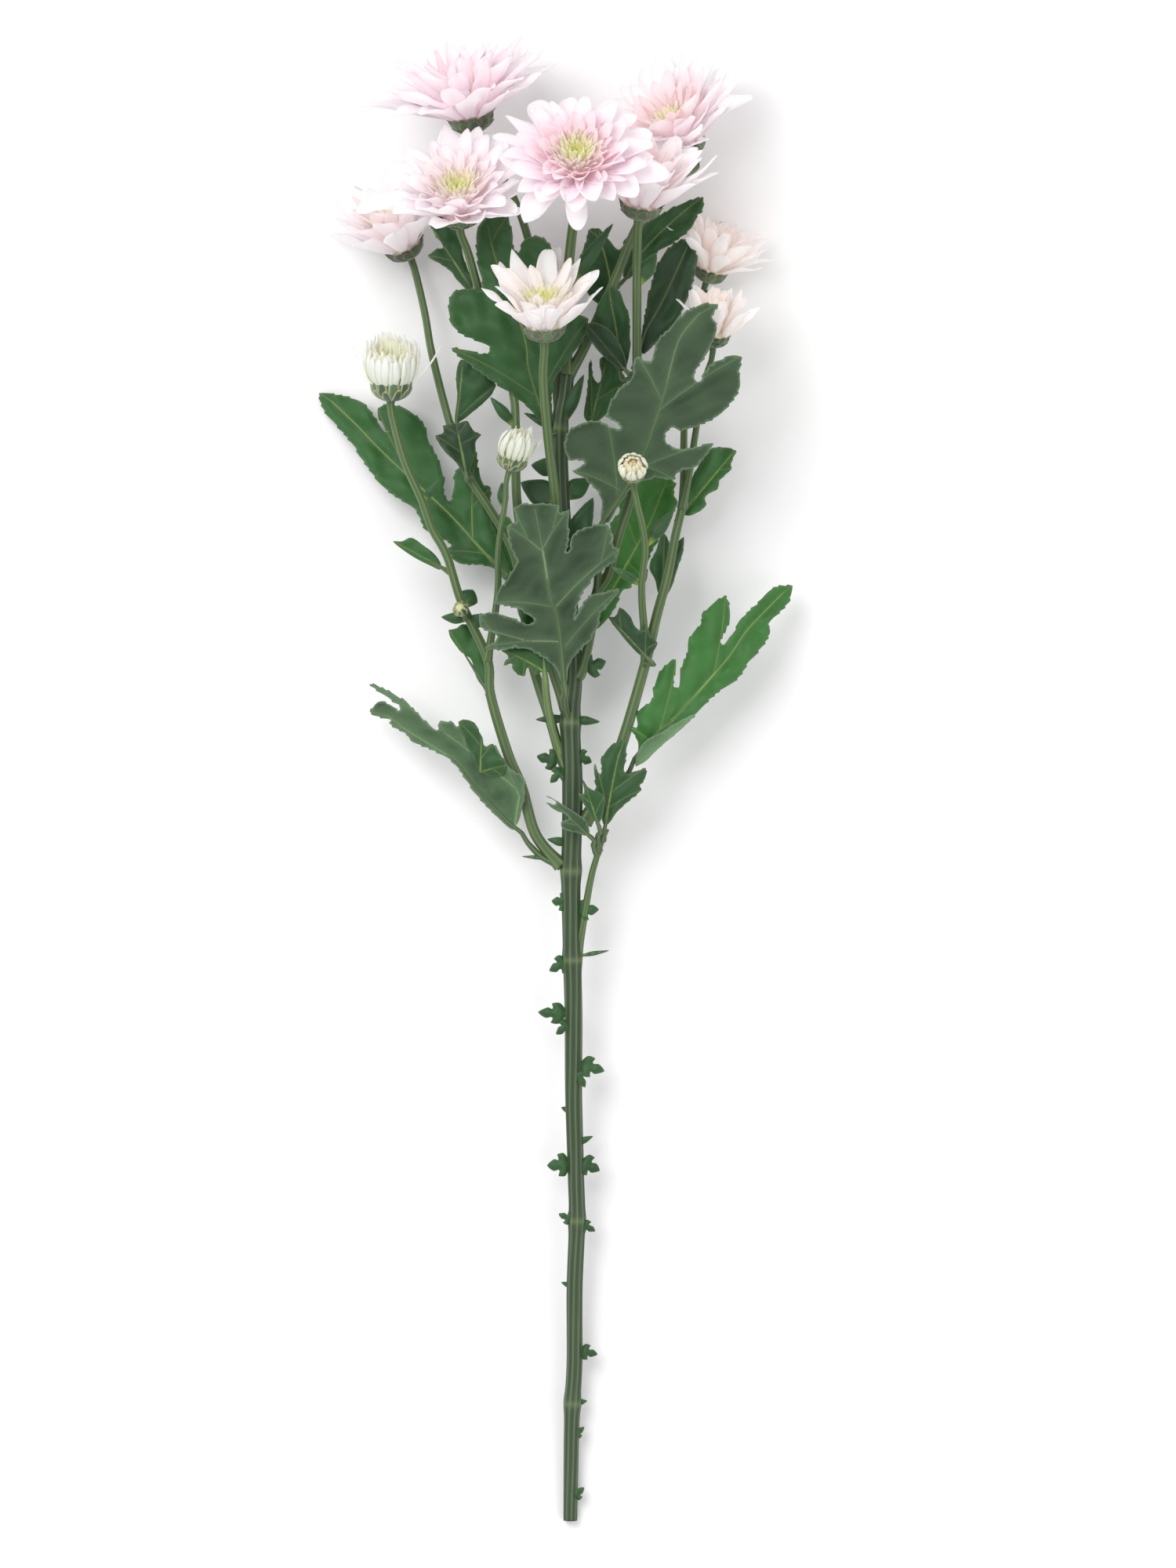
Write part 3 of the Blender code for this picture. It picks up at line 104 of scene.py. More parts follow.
# Leaves: heights of the midrib at base, middle and tip, the rise of the blade with distance from the
# midrib on both sides (fold) and on the left (tilt), the leaf stalk, and the outline from the base round
LEAVES = {
    "leaf_upper_left": dict(
        rise=(46, 60, 52), fold=-0.1, tilt=0.12, tip=(-33.5, 569.5),
        stalk=[(-5, 475.5, 44), (-8, 474.5, 45)],
        outline=[(-12, 477.5), (-19, 485), (-25.5, 490.5), (-33.5, 495.5), (-42, 501.5), (-48.5, 506.5),
            (-52.5, 510.5), (-45, 509.5), (-38.5, 508), (-35.5, 509.5), (-37, 512), (-47, 516),
            (-51.5, 520), (-53.5, 526.5), (-52.5, 533), (-48.5, 536), (-42.5, 536), (-39, 535.5),
            (-41, 548), (-41.5, 558.5), (-39, 566), (-33.5, 569.5), (-28, 568), (-26, 560), (-24, 552),
            (-21.5, 556.5), (-18.5, 559), (-12, 558), (-8, 551.5), (-6, 543), (-7, 533), (-2.5, 526.5),
            (7, 523.5), (5.5, 516), (-0.5, 507), (-7, 498), (-9, 488.5), (-8.5, 478)],
        rib=[(-10, 477), (-14, 485), (-19, 502), (-21, 516), (-32.5, 547), (-36.5, 563.5)]),
    "leaf_back_left": dict(
        rise=(47, 46, 44), fold=0.1, tilt=0, tip=(-61, 563.5),
        stalk=[(-40, 534.5, 53)],
        outline=[(-43, 534), (-49.5, 540), (-53.5, 545), (-62.5, 551), (-59, 554), (-56, 555), (-59.5, 560),
            (-61.5, 564.5), (-58, 565.5), (-50.5, 562), (-47, 550), (-43, 537)]),
    "leaf_left_oval": dict(
        rise=(35, 38, 38), fold=0.15, tilt=0, tip=(-47.5, 506),
        stalk=[(-53.5, 478.5, 33)],
        outline=[(-51, 479), (-50, 490.5), (-50.5, 499.5), (-48.5, 506.5), (-44, 504.5), (-36.5, 499.5),
            (-33, 495), (-36.5, 489.5), (-44, 483), (-49, 479.5)]),
    "leaf_top_right": dict(
        rise=(34, 31, 28), fold=0.15, tilt=0, tip=(57, 577.5),
        stalk=[(18, 535.5, 43), (19.5, 537.5, 38)],
        outline=[(22, 542.5), (24, 551.5), (28, 560), (32, 566), (39, 570), (47.5, 574.5), (57, 577.5),
            (56.5, 571), (54.5, 569.5), (51.5, 563.5), (44, 557.5), (33.5, 551), (24.5, 541.5)],
        rib=[(23.5, 542), (29, 551.5), (39, 562.5), (51, 573), (56, 576.5)]),
    "leaf_right_long": dict(
        rise=(42, 37, 32), fold=0.12, tilt=0.12, tip=(51.5, 559.5),
        stalk=[(28, 502, 51), (28.5, 505, 46)],
        outline=[(29, 509.5), (30, 516), (31.5, 526), (33.5, 536), (36.5, 546.5), (41, 554), (47, 558.5),
            (51.5, 559.5), (54, 553), (53.5, 544.5), (51.5, 537), (46.5, 525), (41, 517.5),
            (35.5, 512.5), (31, 508.5)],
        rib=[(29, 509.5), (32, 519), (38.5, 530.5), (47.5, 550), (51, 558.5)]),
    "leaf_upper_mid": dict(
        rise=(31, 30, 29), fold=0.12, tilt=0, tip=(7.5, 563.5),
        stalk=[(13, 525.5, 44), (14.5, 527.5, 40)],
        outline=[(13, 530), (8.5, 533), (5.5, 537.5), (2.5, 544.5), (3.5, 551.5), (6, 558.5), (7, 563),
            (11.5, 564), (15, 560), (20.5, 554.5), (23, 559), (26, 561.5), (25, 552.5), (20.5, 543.5),
            (18, 537), (15.5, 529.5)],
        rib=[(14, 530), (16.5, 539), (13.5, 554), (9.5, 562.5)]),
    "leaf_mid_right": dict(
        rise=(47, 48, 47), fold=0.12, tilt=0, tip=(16, 538),
        stalk=[(28, 496.5, 50), (25, 498, 48)],
        outline=[(19.5, 501), (15.5, 510.5), (11.5, 519), (10, 526.5), (13, 533.5), (16, 538), (20, 536),
            (22.5, 530.5), (24.5, 525.5), (25, 519), (25, 510.5), (22.5, 501)],
        rib=[(20.5, 502), (19.5, 516), (17, 529.5), (16, 536)]),
    "leaf_dark_oval": dict(
        rise=(56, 58, 58), fold=0.2, tilt=0, tip=(6, 521),
        stalk=[(28, 499, 49), (25, 499.5, 54)],
        outline=[(22, 501), (18.5, 503), (12, 508.5), (7.5, 514.5), (6, 518.5), (7, 521.5), (10.5, 521.5),
            (15.5, 519), (20, 513.5), (23, 506.5), (23.5, 502)]),
    "leaf_behind_mid": dict(
        rise=(35, 33, 30), fold=0.1, tilt=0, tip=(15.5, 508.5),
        stalk=[(-1, 471.5, 40), (5, 473.5, 36)],
        outline=[(7, 479), (5, 482), (6, 489.5), (7, 499.5), (8, 507), (9, 499.5), (11, 496.5),
            (12.5, 499.5), (12, 507), (15.5, 509), (21, 502), (24, 496.5), (19, 488), (14, 482),
            (9, 478.5)]),
    "leaf_front_right": dict(
        rise=(53, 75, 72), fold=-0.14, tilt=0, tip=(62, 528.5),
        stalk=[(10.5, 403, 38), (11, 412, 42), (12.5, 424, 49)],
        outline=[(12.5, 436), (12.5, 445.5), (5.5, 454), (0.5, 457.5), (5, 461), (-1.5, 462.5),
            (-3.5, 467.5), (-2.5, 472.5), (0, 476), (7, 478.5), (12, 478.5), (17, 476), (21, 475.5),
            (18, 478.5), (14.5, 480.5), (15.5, 484), (19, 491), (23, 495), (26, 497), (26, 502),
            (28, 506.5), (33, 504), (35, 507.5), (37, 513.5), (42.5, 519), (48.5, 525.5), (56.5, 529),
            (63, 529), (60.5, 523), (62.5, 519), (60.5, 512.5), (58, 507), (54, 501.5), (52.5, 497.5),
            (54.5, 495.5), (57, 499.5), (60, 503), (68.5, 506.5), (73, 506.5), (72, 499), (72, 492),
            (64.5, 482), (59, 478.5), (48, 474.5), (43, 475.5), (40, 471.5), (43.5, 467), (51.5, 467),
            (61, 469), (58, 464), (52.5, 458.5), (45.5, 456.5), (44, 453.5), (34, 454), (25.5, 449.5),
            (19.5, 441.5), (15.5, 435)],
        rib=[(13.5, 436), (24, 451), (30, 462.5), (33.5, 471), (39, 488), (44, 507.5), (47.5, 516),
            (55, 525)]),
    "leaf_right_bright": dict(
        rise=(28, 24, 18), fold=0.1, tilt=0, tip=(70.5, 467),
        stalk=[(47.5, 435, 37), (46, 436, 32)],
        outline=[(47.5, 440.5), (48.5, 448), (51.5, 454.5), (56.5, 463), (61.5, 468.5), (71.5, 467.5),
            (69, 461.5), (69.5, 459.5), (64, 454), (63.5, 451), (58, 447), (58, 443), (52, 439),
            (48.5, 439)]),
    "leaf_back_bright": dict(
        rise=(30, 26, 22), fold=0.1, tilt=0, tip=(41, 456.5),
        stalk=[(2.5, 385, 35), (5.5, 386, 32)],
        outline=[(7.5, 390), (13.5, 406.5), (12, 412), (16.5, 416.5), (14.5, 422.5), (18, 427.5),
            (16.5, 435), (20.5, 441), (19, 445.5), (24, 450.5), (29, 453), (32.5, 456), (37.5, 457.5),
            (41.5, 456), (45, 453), (44, 448), (46, 444.5), (43.5, 439.5), (41.5, 435), (39.5, 431.5),
            (36.5, 426.5), (34, 422), (32.5, 416), (32, 409.5), (28, 411), (25, 407.5), (22, 406.5),
            (18.5, 398.5), (11, 389.5)],
        rib=[(9, 390.5), (18, 407.5), (28, 425.5), (34.5, 437.5), (41, 454)]),
    "leaf_right_small": dict(
        rise=(34, 33, 32), fold=0.15, tilt=0, tip=(40, 431),
        stalk=[(38, 398.5, 40), (39, 400, 36)],
        outline=[(37.5, 404.5), (36, 410.5), (33.5, 416.5), (36.5, 424), (39.5, 431.5), (42, 427.5),
            (43, 422.5), (45.5, 426.5), (48.5, 429.5), (48, 422.5), (46, 416.5), (43.5, 408.5),
            (41, 404)]),
    "leaf_right_lobed": dict(
        rise=(46, 48, 49), fold=0.15, tilt=0, tip=(16, 394.5),
        stalk=[(32, 373, 37), (32.5, 374.5, 42)],
        outline=[(30, 377.5), (26, 381), (20.5, 387.5), (15.5, 394.5), (18.5, 394.5), (20.5, 398.5),
            (24.5, 395.5), (27.5, 390), (30.5, 388.5), (32.5, 390.5), (34, 386.5), (37, 383),
            (33.5, 377.5)]),
    "leaf_lower_right": dict(
        rise=(34, 34, 16), fold=0.12, tilt=0, tip=(96, 408.5),
        stalk=[(12, 318.5, 30.5), (16.5, 318.5, 31), (22, 324, 32)],
        outline=[(26.5, 331), (28, 334), (28.5, 340.5), (25, 346.5), (28, 347), (28.5, 353.5),
            (34.5, 358.5), (35.5, 364.5), (38.5, 371.5), (45, 376.5), (44, 364.5), (46, 364),
            (47.5, 373), (49.5, 378), (51.5, 386.5), (56, 392), (56.5, 396), (66.5, 404), (68.5, 399),
            (68, 392), (64.5, 384), (66, 382.5), (71, 389.5), (74, 394.5), (82, 402), (87.5, 407.5),
            (96, 408.5), (95, 403), (92.5, 399), (85.5, 391.5), (86, 387.5), (82, 381), (77, 375.5),
            (72.5, 368.5), (61, 360), (52, 350.5), (44, 344), (32.5, 335), (28.5, 330)],
        rib=[(27, 333), (36, 343.5), (44.5, 351), (66.5, 375.5), (76.5, 389.5), (92, 405.5)]),
    "leaf_shoot_right": dict(
        rise=(40, 43, 46), fold=0.15, tilt=0, tip=(22.5, 341.5),
        stalk=[(13, 297.5, 35), (13.5, 300, 38)],
        outline=[(13.5, 304.5), (12.5, 308.5), (11.5, 317), (10, 322), (10, 331), (12, 326.5),
            (12.5, 332.5), (16, 338), (22.5, 341.5), (23.5, 335), (22.5, 328), (24.5, 326.5),
            (32, 329), (31.5, 324), (29, 321.5), (30, 319.5), (24.5, 314.5), (19.5, 310), (15.5, 304.5)],
        rib=[(14.5, 305), (16.5, 317), (19.5, 332), (22, 339.5)]),
    "leaf_shoot_mid": dict(
        rise=(46, 48, 50), fold=0.12, tilt=0, tip=(5, 323.5),
        stalk=[(11.5, 293, 33.5), (11, 299.5, 41)],
        outline=[(9.5, 306), (7, 310), (2.5, 318), (5, 318), (4.5, 324), (7, 320.5), (14, 317), (13.5, 310),
            (12, 305.5)]),
    "leaf_shoot_left": dict(
        rise=(41, 42, 40), fold=0.1, tilt=0, tip=(-11.5, 317),
        stalk=[(11, 291.5, 33), (9, 295.5, 38)],
        outline=[(5.5, 299.5), (3, 300.5), (-4, 302.5), (-5, 305.5), (-1.5, 307.5), (-7, 310.5),
            (-11.5, 314), (-7, 313.5), (-11.5, 317), (-4, 313), (3, 308.5), (6, 306), (7.5, 301)]),
    "leaf_front_middle": dict(
        rise=(52, 61, 60), fold=-0.14, tilt=0, tip=(-14.5, 442.5),
        stalk=[(-2.5, 348.5, 34), (-3, 354.5, 39), (-3.5, 359.5, 47)],
        outline=[(-4.5, 365.5), (-7, 371.5), (-9.5, 374.5), (-16.5, 379), (-21.5, 381), (-31.5, 380),
            (-38, 381), (-32.5, 385.5), (-40, 390), (-40, 395.5), (-33, 396), (-25.5, 393.5),
            (-17, 392), (-23, 397.5), (-34, 400.5), (-32, 405.5), (-29, 409.5), (-25, 416),
            (-24, 418.5), (-27, 425), (-28, 433.5), (-24.5, 435.5), (-25, 441.5), (-21.5, 443),
            (-6, 442.5), (-5.5, 439.5), (-1.5, 440.5), (-1.5, 433.5), (-1.5, 428.5), (-2, 422.5),
            (0.5, 430), (5, 432.5), (10, 434), (15.5, 434), (17, 430.5), (17.5, 425), (20.5, 423.5),
            (18.5, 418.5), (15, 416), (10, 412), (4, 403.5), (1, 394), (3.5, 398.5), (7, 403),
            (15.5, 405.5), (20.5, 406.5), (15.5, 399), (12.5, 396), (11, 389.5), (7, 383.5),
            (2, 378.5), (-1.5, 373), (-2.5, 365.5)],
        rib=[(-3.5, 365.5), (-6, 391.5), (-9.5, 402.5), (-12, 418.5), (-15, 435), (-16, 441)]),
    "leaf_on_left_branch": dict(
        rise=(39, 42, 43), fold=0.12, tilt=0, tip=(-50.5, 478.5),
        stalk=[(-45, 454, 32.5), (-45.5, 455, 36)],
        outline=[(-47.5, 457.5), (-50.5, 461.5), (-56, 467), (-59.5, 473), (-56, 474.5), (-56, 477.5),
            (-50.5, 478.5), (-45.5, 479.5), (-43, 475.5), (-39.5, 473.5), (-42, 470.5), (-42, 466),
            (-45, 457.5)]),
    "leaf_behind_front": dict(
        rise=(50, 52, 52), fold=0.0, tilt=0, tip=(-16.5, 423.5),
        stalk=[(-5, 335, 30.5), (-9, 347.5, 38), (-11, 359.5, 46)],
        outline=[(-13.5, 370.5), (-16, 369), (-19, 372.5), (-21, 368.5), (-25, 370.5), (-26.5, 374),
            (-29.5, 373.5), (-28, 377), (-30.5, 380), (-25.5, 381), (-21, 382.5), (-22.5, 393.5),
            (-24, 403.5), (-21, 417), (-17, 423.5), (-12, 421.5), (-9, 410.5), (-7.5, 397), (-8, 383),
            (-10.5, 370.5)]),
    "leaf_far_left": dict(
        rise=(24, 18, 3), fold=0.1, tilt=0, tip=(-111, 492.5),
        stalk=[(-21, 397, 28.5), (-24, 404.5, 27)],
        outline=[(-29, 410.5), (-34.5, 416), (-41, 417.5), (-48.5, 418), (-54.5, 423.5), (-53, 426.5),
            (-60, 430), (-64.5, 433.5), (-68.5, 441.5), (-79, 448.5), (-85.5, 455), (-91, 462.5),
            (-96.5, 471), (-103.5, 479), (-108.5, 485), (-111, 493), (-105, 492.5), (-97, 491),
            (-90, 487), (-85.5, 481), (-81.5, 475.5), (-84, 481), (-85, 486), (-81, 488), (-76, 487),
            (-68.5, 483), (-64.5, 478.5), (-63, 472.5), (-58.5, 463.5), (-56, 455), (-56, 449),
            (-53.5, 445.5), (-51.5, 451), (-51.5, 457), (-47.5, 462), (-42, 466.5), (-41, 459.5),
            (-38.5, 452.5), (-35.5, 451), (-36, 440), (-32, 427.5), (-26.5, 413)],
        rib=[(-29, 413), (-39, 423.5), (-54.5, 440.5), (-73, 457.5), (-85.5, 469.5), (-94, 478.5),
            (-105.5, 489.5)]),
    "leaf_left_bright": dict(
        rise=(20, 17, 15), fold=0.1, tilt=0, tip=(-32, 439),
        stalk=[(-21, 398.5, 28.5), (-21.5, 404.5, 24)],
        outline=[(-25, 411.5), (-29, 416.5), (-34, 420), (-36.5, 427.5), (-36, 435), (-32, 439.5),
            (-27, 437.5), (-24.5, 427.5), (-22.5, 412.5)]),
    "leaf_left_slim": dict(
        rise=(38, 36, 34), fold=0.12, tilt=0, tip=(-77.5, 427.5),
        stalk=[(-54, 413, 38.5)],
        outline=[(-57.5, 415), (-61, 416.5), (-68, 420), (-74, 424), (-78, 427.5), (-74, 427.5), (-70, 429),
            (-64.5, 425.5), (-60, 422), (-57, 417.5)]),
    "leaf_left_lobed": dict(
        rise=(33, 31, 30), fold=0.1, tilt=0, tip=(-53.5, 389),
        stalk=[(-35.5, 359.5, 35), (-36.5, 361.5, 34)],
        outline=[(-39.5, 365), (-42, 369), (-44, 376), (-48.5, 379.5), (-52.5, 385), (-54, 389),
            (-51, 389.5), (-47.5, 391.5), (-42.5, 390), (-39, 386), (-37.5, 380), (-37.5, 365.5)]),
    "leaf_lower_left": dict(
        rise=(30, 29, 20), fold=0.0, tilt=-0.35, tip=(-88.5, 358.5),
        stalk=[(-5, 284, 27), (-13, 290, 27.5), (-19.5, 296.5, 29)],
        outline=[(-26, 302), (-33.5, 308.5), (-39, 314), (-45.5, 322.5), (-49.5, 328.5), (-52.5, 332),
            (-61.5, 337), (-70, 340.5), (-71.5, 343), (-80, 348.5), (-79, 350), (-85.5, 351.5),
            (-88.5, 353.5), (-84.5, 357.5), (-80, 357), (-75, 354.5), (-79, 358.5), (-89, 366),
            (-79, 362), (-71.5, 357), (-65.5, 351), (-59, 345.5), (-58, 349), (-52.5, 349), (-50, 347),
            (-48, 350), (-44, 348), (-39, 342.5), (-37.5, 336.5), (-34, 339), (-31, 335), (-29, 331),
            (-25, 327.5), (-20.5, 324.5), (-21, 320.5), (-20.5, 318), (-21.5, 313), (-24, 304.5)],
        rib=[(-25, 303), (-30.5, 308), (-43, 321.5), (-50.5, 331.5), (-60, 338), (-71.5, 345), (-81, 352)]),
}

# Small leaves on the main stem: outline, root, tip and width
STUBS = [
    ("lobed", (-2.5, 270.5, 26), (-9, 271, 27), 7),
    ("lobed", (2.5, 266.5, 26), (11.5, 267.5, 27), 8),
    ("lobed", (-2.5, 246.5, 24), (-10, 240.5, 25), 7),
    ("narrow", (2.5, 247, 24), (16, 249.5, 26), 2),
    ("lobed", (-2.5, 222, 22), (-15, 222.5, 23), 8),
    ("lobed", (-2.5, 219.5, 22), (-7, 213, 24), 6),
    ("lobed", (2.5, 200.5, 20), (14, 197, 22), 8),
    ("lobed", (2, 199, 21), (5.5, 190, 24), 6),
    ("narrow", (-2, 179, 18), (-5, 181, 18), 3),
    ("narrow", (3.5, 165, 18), (9, 168.5, 19), 3),
    ("lobed", (-2, 156.5, 17), (-11, 155.5, 18), 9),
    ("lobed", (4, 158, 17), (12, 153.5, 18), 8),
    ("lobed", (-0.5, 131, 15), (-6, 134.5, 16), 5),
    ("lobed", (4, 131, 15), (10, 127, 16), 5),
    ("narrow", (-1.5, 102.5, 12), (-5, 104.5, 12), 2.5),
    ("lobed", (4, 75, 10), (11, 73, 11), 6),
    ("narrow", (2.5, 51.5, 8.5), (6.5, 52.5, 9), 3),
    ("lobed", (1.5, 35.5, 7), (5, 41, 9), 4),
    ("lobed", (0.5, 9, 5), (5, 14.5, 7), 5),
    ("narrow", (-5, 350.5, 33), (-16, 350, 34), 4),
    ("narrow", (2.5, 350, 33), (12, 349, 34), 4),
    ("lobed", (-4.5, 331, 30), (-15.5, 334, 31), 8),
    ("lobed", (-4.5, 329.5, 31), (-9.5, 322.5, 32), 6),
    ("lobed", (2.5, 335, 31), (8.5, 331.5, 31), 7),
    ("narrow", (-4.5, 296, 28), (-11, 298, 28), 4),
    ("narrow", (-9, 288.5, 28), (-22, 290.5, 28), 2),
    ("lobed", (2.5, 371.5, 34), (14.5, 375.5, 36), 9),
]

# Bracts on the branches: root, tip and width
BRACTS = [
    ((-65, 444.5, 41), (-57.5, 454, 42), 4),
    ((-25, 476.5, 52), (-35.5, 489.5, 53), 5),
    ((-6, 475.5, 43), (-21, 483, 44), 4),
    ((-2.5, 537, 50), (17.5, 564.5, 55), 6),
    ((-2.5, 476.5, 42), (5, 499.5, 46), 6),
    ((31, 424, 71), (44, 440.5, 70), 6),
    ((29.5, 406, 61), (17, 416, 60), 4),
    ((52.5, 530, 13), (59, 537.5, 17), 3),
    ((28, 537.5, 53), (36.5, 552, 50), 7),
    ((-2.5, 420, 38), (9, 446.5, 37), 10),
    ((-4, 446, 40), (8, 454.5, 38), 9),
    ((-5.5, 443.5, 40), (-22.5, 453, 38), 12),
    ((-6, 458.5, 41), (-18, 460.5, 39), 8),
    ((-29, 440.5, 58), (-30.5, 452.5, 58), 5),
    ((-45, 393.5, 37), (-57, 394.5, 38), 5),
    ((-45, 390, 37), (-39, 395.5, 41), 7),
    ((-47.5, 399, 38), (-43, 406.5, 35), 9),
]

# Radius at the root and at the far end of each branch
BRANCH_RADII = {
    "branch_j": (2.4, 1.6), "branch_k": (1.6, 1.1), "branch_f": (2.2, 1.5), "branch_b": (2.2, 1.7),
    "branch_a": (2.0, 1.6), "branch_h": (2.1, 1.8), "branch_c": (2.4, 2.0), "branch_d": (2.2, 1.7),
    "branch_e": (2.2, 1.8), "branch_right": (2.6, 1.9), "branch_i": (1.5, 1.2), "branch_g": (1.6, 1.2),
    "branch_l": (1.7, 1.2), "branch_n": (1.2, 0.9), "stalk_m": (1.2, 1.0), "shoot": (1.7, 1.2),
}

# Flowers, each at the end of its own branch: place and direction, size, number of quills, how much longer the
# petals on the camera's side are, and rings of ray petals from the outside in, each with its count, its tilt
# from the flower's axis at the root and at the tip in degrees, its length and its width; loose petals stand
# apart from the rings, and each starts with its turn round the axis
BLOOMS = {
    "a": dict(
        at=(-42.5, 605.5, 43), face=(-0.22, 0.93, 0.25), size=1.0, quills=70, reach=0,
        rings=[(12, 59, 76, 36, 11), (13, 50, 63, 36, 10.5), (12, 38, 46, 34, 10), (12, 25, 28, 29, 8.5)],
        loose=[(2, 50, 48, 43, 9), (20, 40, 42, 43, 9), (182, 62, 66, 43, 9), (160, 48, 50, 42, 9),
               (255, 38, 20, 22, 12)]),
    "b": dict(
        at=(-48.5, 564.5, 68), face=(-0.05, 0.8, 0.6), size=1.0, quills=190, reach=0.24,
        rings=[(10, 56, 74, 28, 12.5), (12, 46, 62, 29, 11.5), (12, 37, 48, 25, 9.5), (13, 30, 38, 20, 7),
               (12, 23, 28, 17, 5)],
        loose=[(188, 66, 88, 37, 12), (322, 60, 80, 33, 14)]),
    "c": dict(
        at=(2, 580, 90), face=(0, 0.7, 0.71), size=1.0, quills=190, reach=0.2,
        rings=[(12, 64, 88, 28.5, 12), (13, 54, 76, 28.5, 11.5), (13, 43, 60, 25, 10), (14, 34, 46, 19, 7.5),
               (13, 25, 31, 16, 5.5)],
        loose=[(268, 84, 140, 27, 10), (228, 84, 124, 31, 12), (350, 68, 88, 33, 14)]),
    "d": dict(
        at=(51, 595.5, 26), face=(-0.45, 0.8, 0.42), size=1.0, quills=150, reach=0.14,
        rings=[(12, 54, 68, 36, 12), (13, 45, 56, 35, 11), (12, 36, 44, 31, 9.5), (12, 27, 31, 24, 7)],
        loose=[(338, 60, 82, 38, 13), (295, 56, 88, 29, 12), (176, 52, 60, 41, 11)]),
    "e": dict(
        at=(29, 566.5, 70), face=(0.14, 0.93, 0.35), size=0.92, quills=80, reach=0.05,
        rings=[(9, 42, 50, 29, 11), (9, 31, 38, 29, 10.5), (8, 21, 26, 26, 9.5), (8, 12, 14, 21, 7.5)],
        loose=[(355, 38, 42, 34, 11)]),
    "f": dict(
        at=(-71.5, 552.5, 14.6), face=(-0.38, 0.8, 0.46), size=0.9, quills=140, reach=0,
        rings=[(9, 44, 54, 32, 11), (10, 34, 42, 30, 10), (10, 24, 30, 26, 8.5)],
        loose=[(172, 48, 54, 38, 10)]),
    "g": dict(
        at=(58.5, 541.5, 15.6), face=(0.32, 0.92, 0.22), size=0.76, quills=24, reach=0,
        rings=[(9, 50, 64, 23.5, 7.5), (9, 37, 46, 24, 7.5), (9, 24, 30, 23, 7), (6, 11, 12, 19, 5.5)]),
    "h": dict(
        at=(-12, 513.5, 86), face=(0, 0.93, 0.36), size=0.95, quills=130, reach=0.22,
        rings=[(10, 50, 44, 26, 8.5), (10, 41, 36, 26, 8.5), (7, 31, 28, 22, 8)],
        loose=[(262, 42, 34, 22, 13)]),
    "i": dict(
        at=(61, 512, 46), face=(0.1, 0.95, 0.25), size=0.68, quills=14, reach=0,
        rings=[(8, 36, 42, 19, 7), (8, 24, 29, 20, 7), (7, 12, 15, 17.5, 6)]),
    "j": dict(
        at=(-78.5, 489, 45), face=(0, 0.98, 0.2), size=0.9, quills=36, reach=0.2,
        rings=[(24, 46, -16, 18, 3.7), (22, 38, -12, 18, 3.5), (20, 27, -6, 17, 3.2), (16, 14, -2, 15, 2.8)],
        loose=[(352, 54, 26, 25, 3.2), (205, 52, 4, 24, 4)]),
    "k": dict(
        at=(-27, 458, 65), face=(0.26, 0.93, 0.25), size=0.66, quills=0, reach=0,
        rings=[(16, 40, -42, 13.5, 3.1), (14, 34, -34, 13.5, 3), (12, 22, -28, 12.5, 2.8)],
        loose=[(20, 44, 0, 14, 3.4), (60, 32, 6, 15, 3.2)]),
    "l": dict(
        at=(26, 455, 85), face=(0, 0.5, 0.86), size=0.58, quills=0, reach=0,
        rings=[(13, 56, -70, 8.2, 3.2), (11, 40, -70, 7.4, 2.8), (8, 20, -60, 5.4, 2.4)]),
    "n": dict(
        at=(-6.5, 539, 38), face=(0, 1, 0.05), size=0.42, quills=0, reach=0,
        rings=[(8, 28, -12, 13, 3.4), (6, 14, -10, 12, 3.2)]),
}
CLOSED_BUDS = "jkln"
WITH_AN_EYE = "bcfhj"
TINY_BUD = dict(at=(-47.5, 396.5, 44), face=(-0.3, 0.4, 0.86), size=0.85)

# Turned profile of the green cup under a flower, as radius and height above the flower stalk, its inside, and
# how its bracts run on past its rim, outwards under an open flower and upwards on a bud
CUP_PROFILE = [(1.7, -0.3), (4.2, 0.2), (6.8, 1.5), (8.6, 3.4), (9.3, 5.2), (9.4, 6.2)]
CUP_INSIDE = [(8.8, 5.8), (7.6, 5.3), (2.0, 5.2)]
OPEN_RIM = [(9.9, 7.2), (10.9, 8.0)]
BUD_RIM = [(9.5, 8.2), (9.2, 10.4), (8.4, 12.4)]
BUD_PROFILE = [(0.9, 0), (2.2, 0.9), (3.2, 2.0), (3.6, 3.8), (3.0, 5.4), (1.6, 6.7), (0.2, 7.0)]
GOLDEN = math.pi * (3 - math.sqrt(5))

# Outlines of the small leaves on the stem, as parts of length and width
LEAFLETS = {
    "lobed": [(0, -0.05), (0.2, -0.08), (0.28, -0.34), (0.42, -0.58), (0.64, -0.54), (0.6, -0.26),
              (0.78, -0.28), (0.92, -0.14), (1, 0.02), (0.88, 0.18), (0.72, 0.3), (0.6, 0.24), (0.62, 0.52),
              (0.4, 0.56), (0.26, 0.3), (0.2, 0.08), (0, 0.05)],
    "narrow": [(0, -0.1), (0.25, -0.36), (0.5, -0.5), (0.78, -0.3), (1, 0), (0.8, 0.28), (0.5, 0.5),
               (0.22, 0.34), (0, 0.1)],
}


def linear(code):
    """A colour from its web code, as linear red, green and blue."""
    parts = [int(code[i:i + 2], 16) / 255 for i in (0, 2, 4)]
    return np.array([p / 12.92 if p <= 0.04045 else ((p + 0.055) / 1.055) ** 2.4 for p in parts])


def mixed(a, b, share):
    """Colour between a and b for each share, 0 for a and 1 for b."""
    share = np.clip(np.asarray(share, float), 0, 1)[..., None]
    return a * (1 - share) + b * share


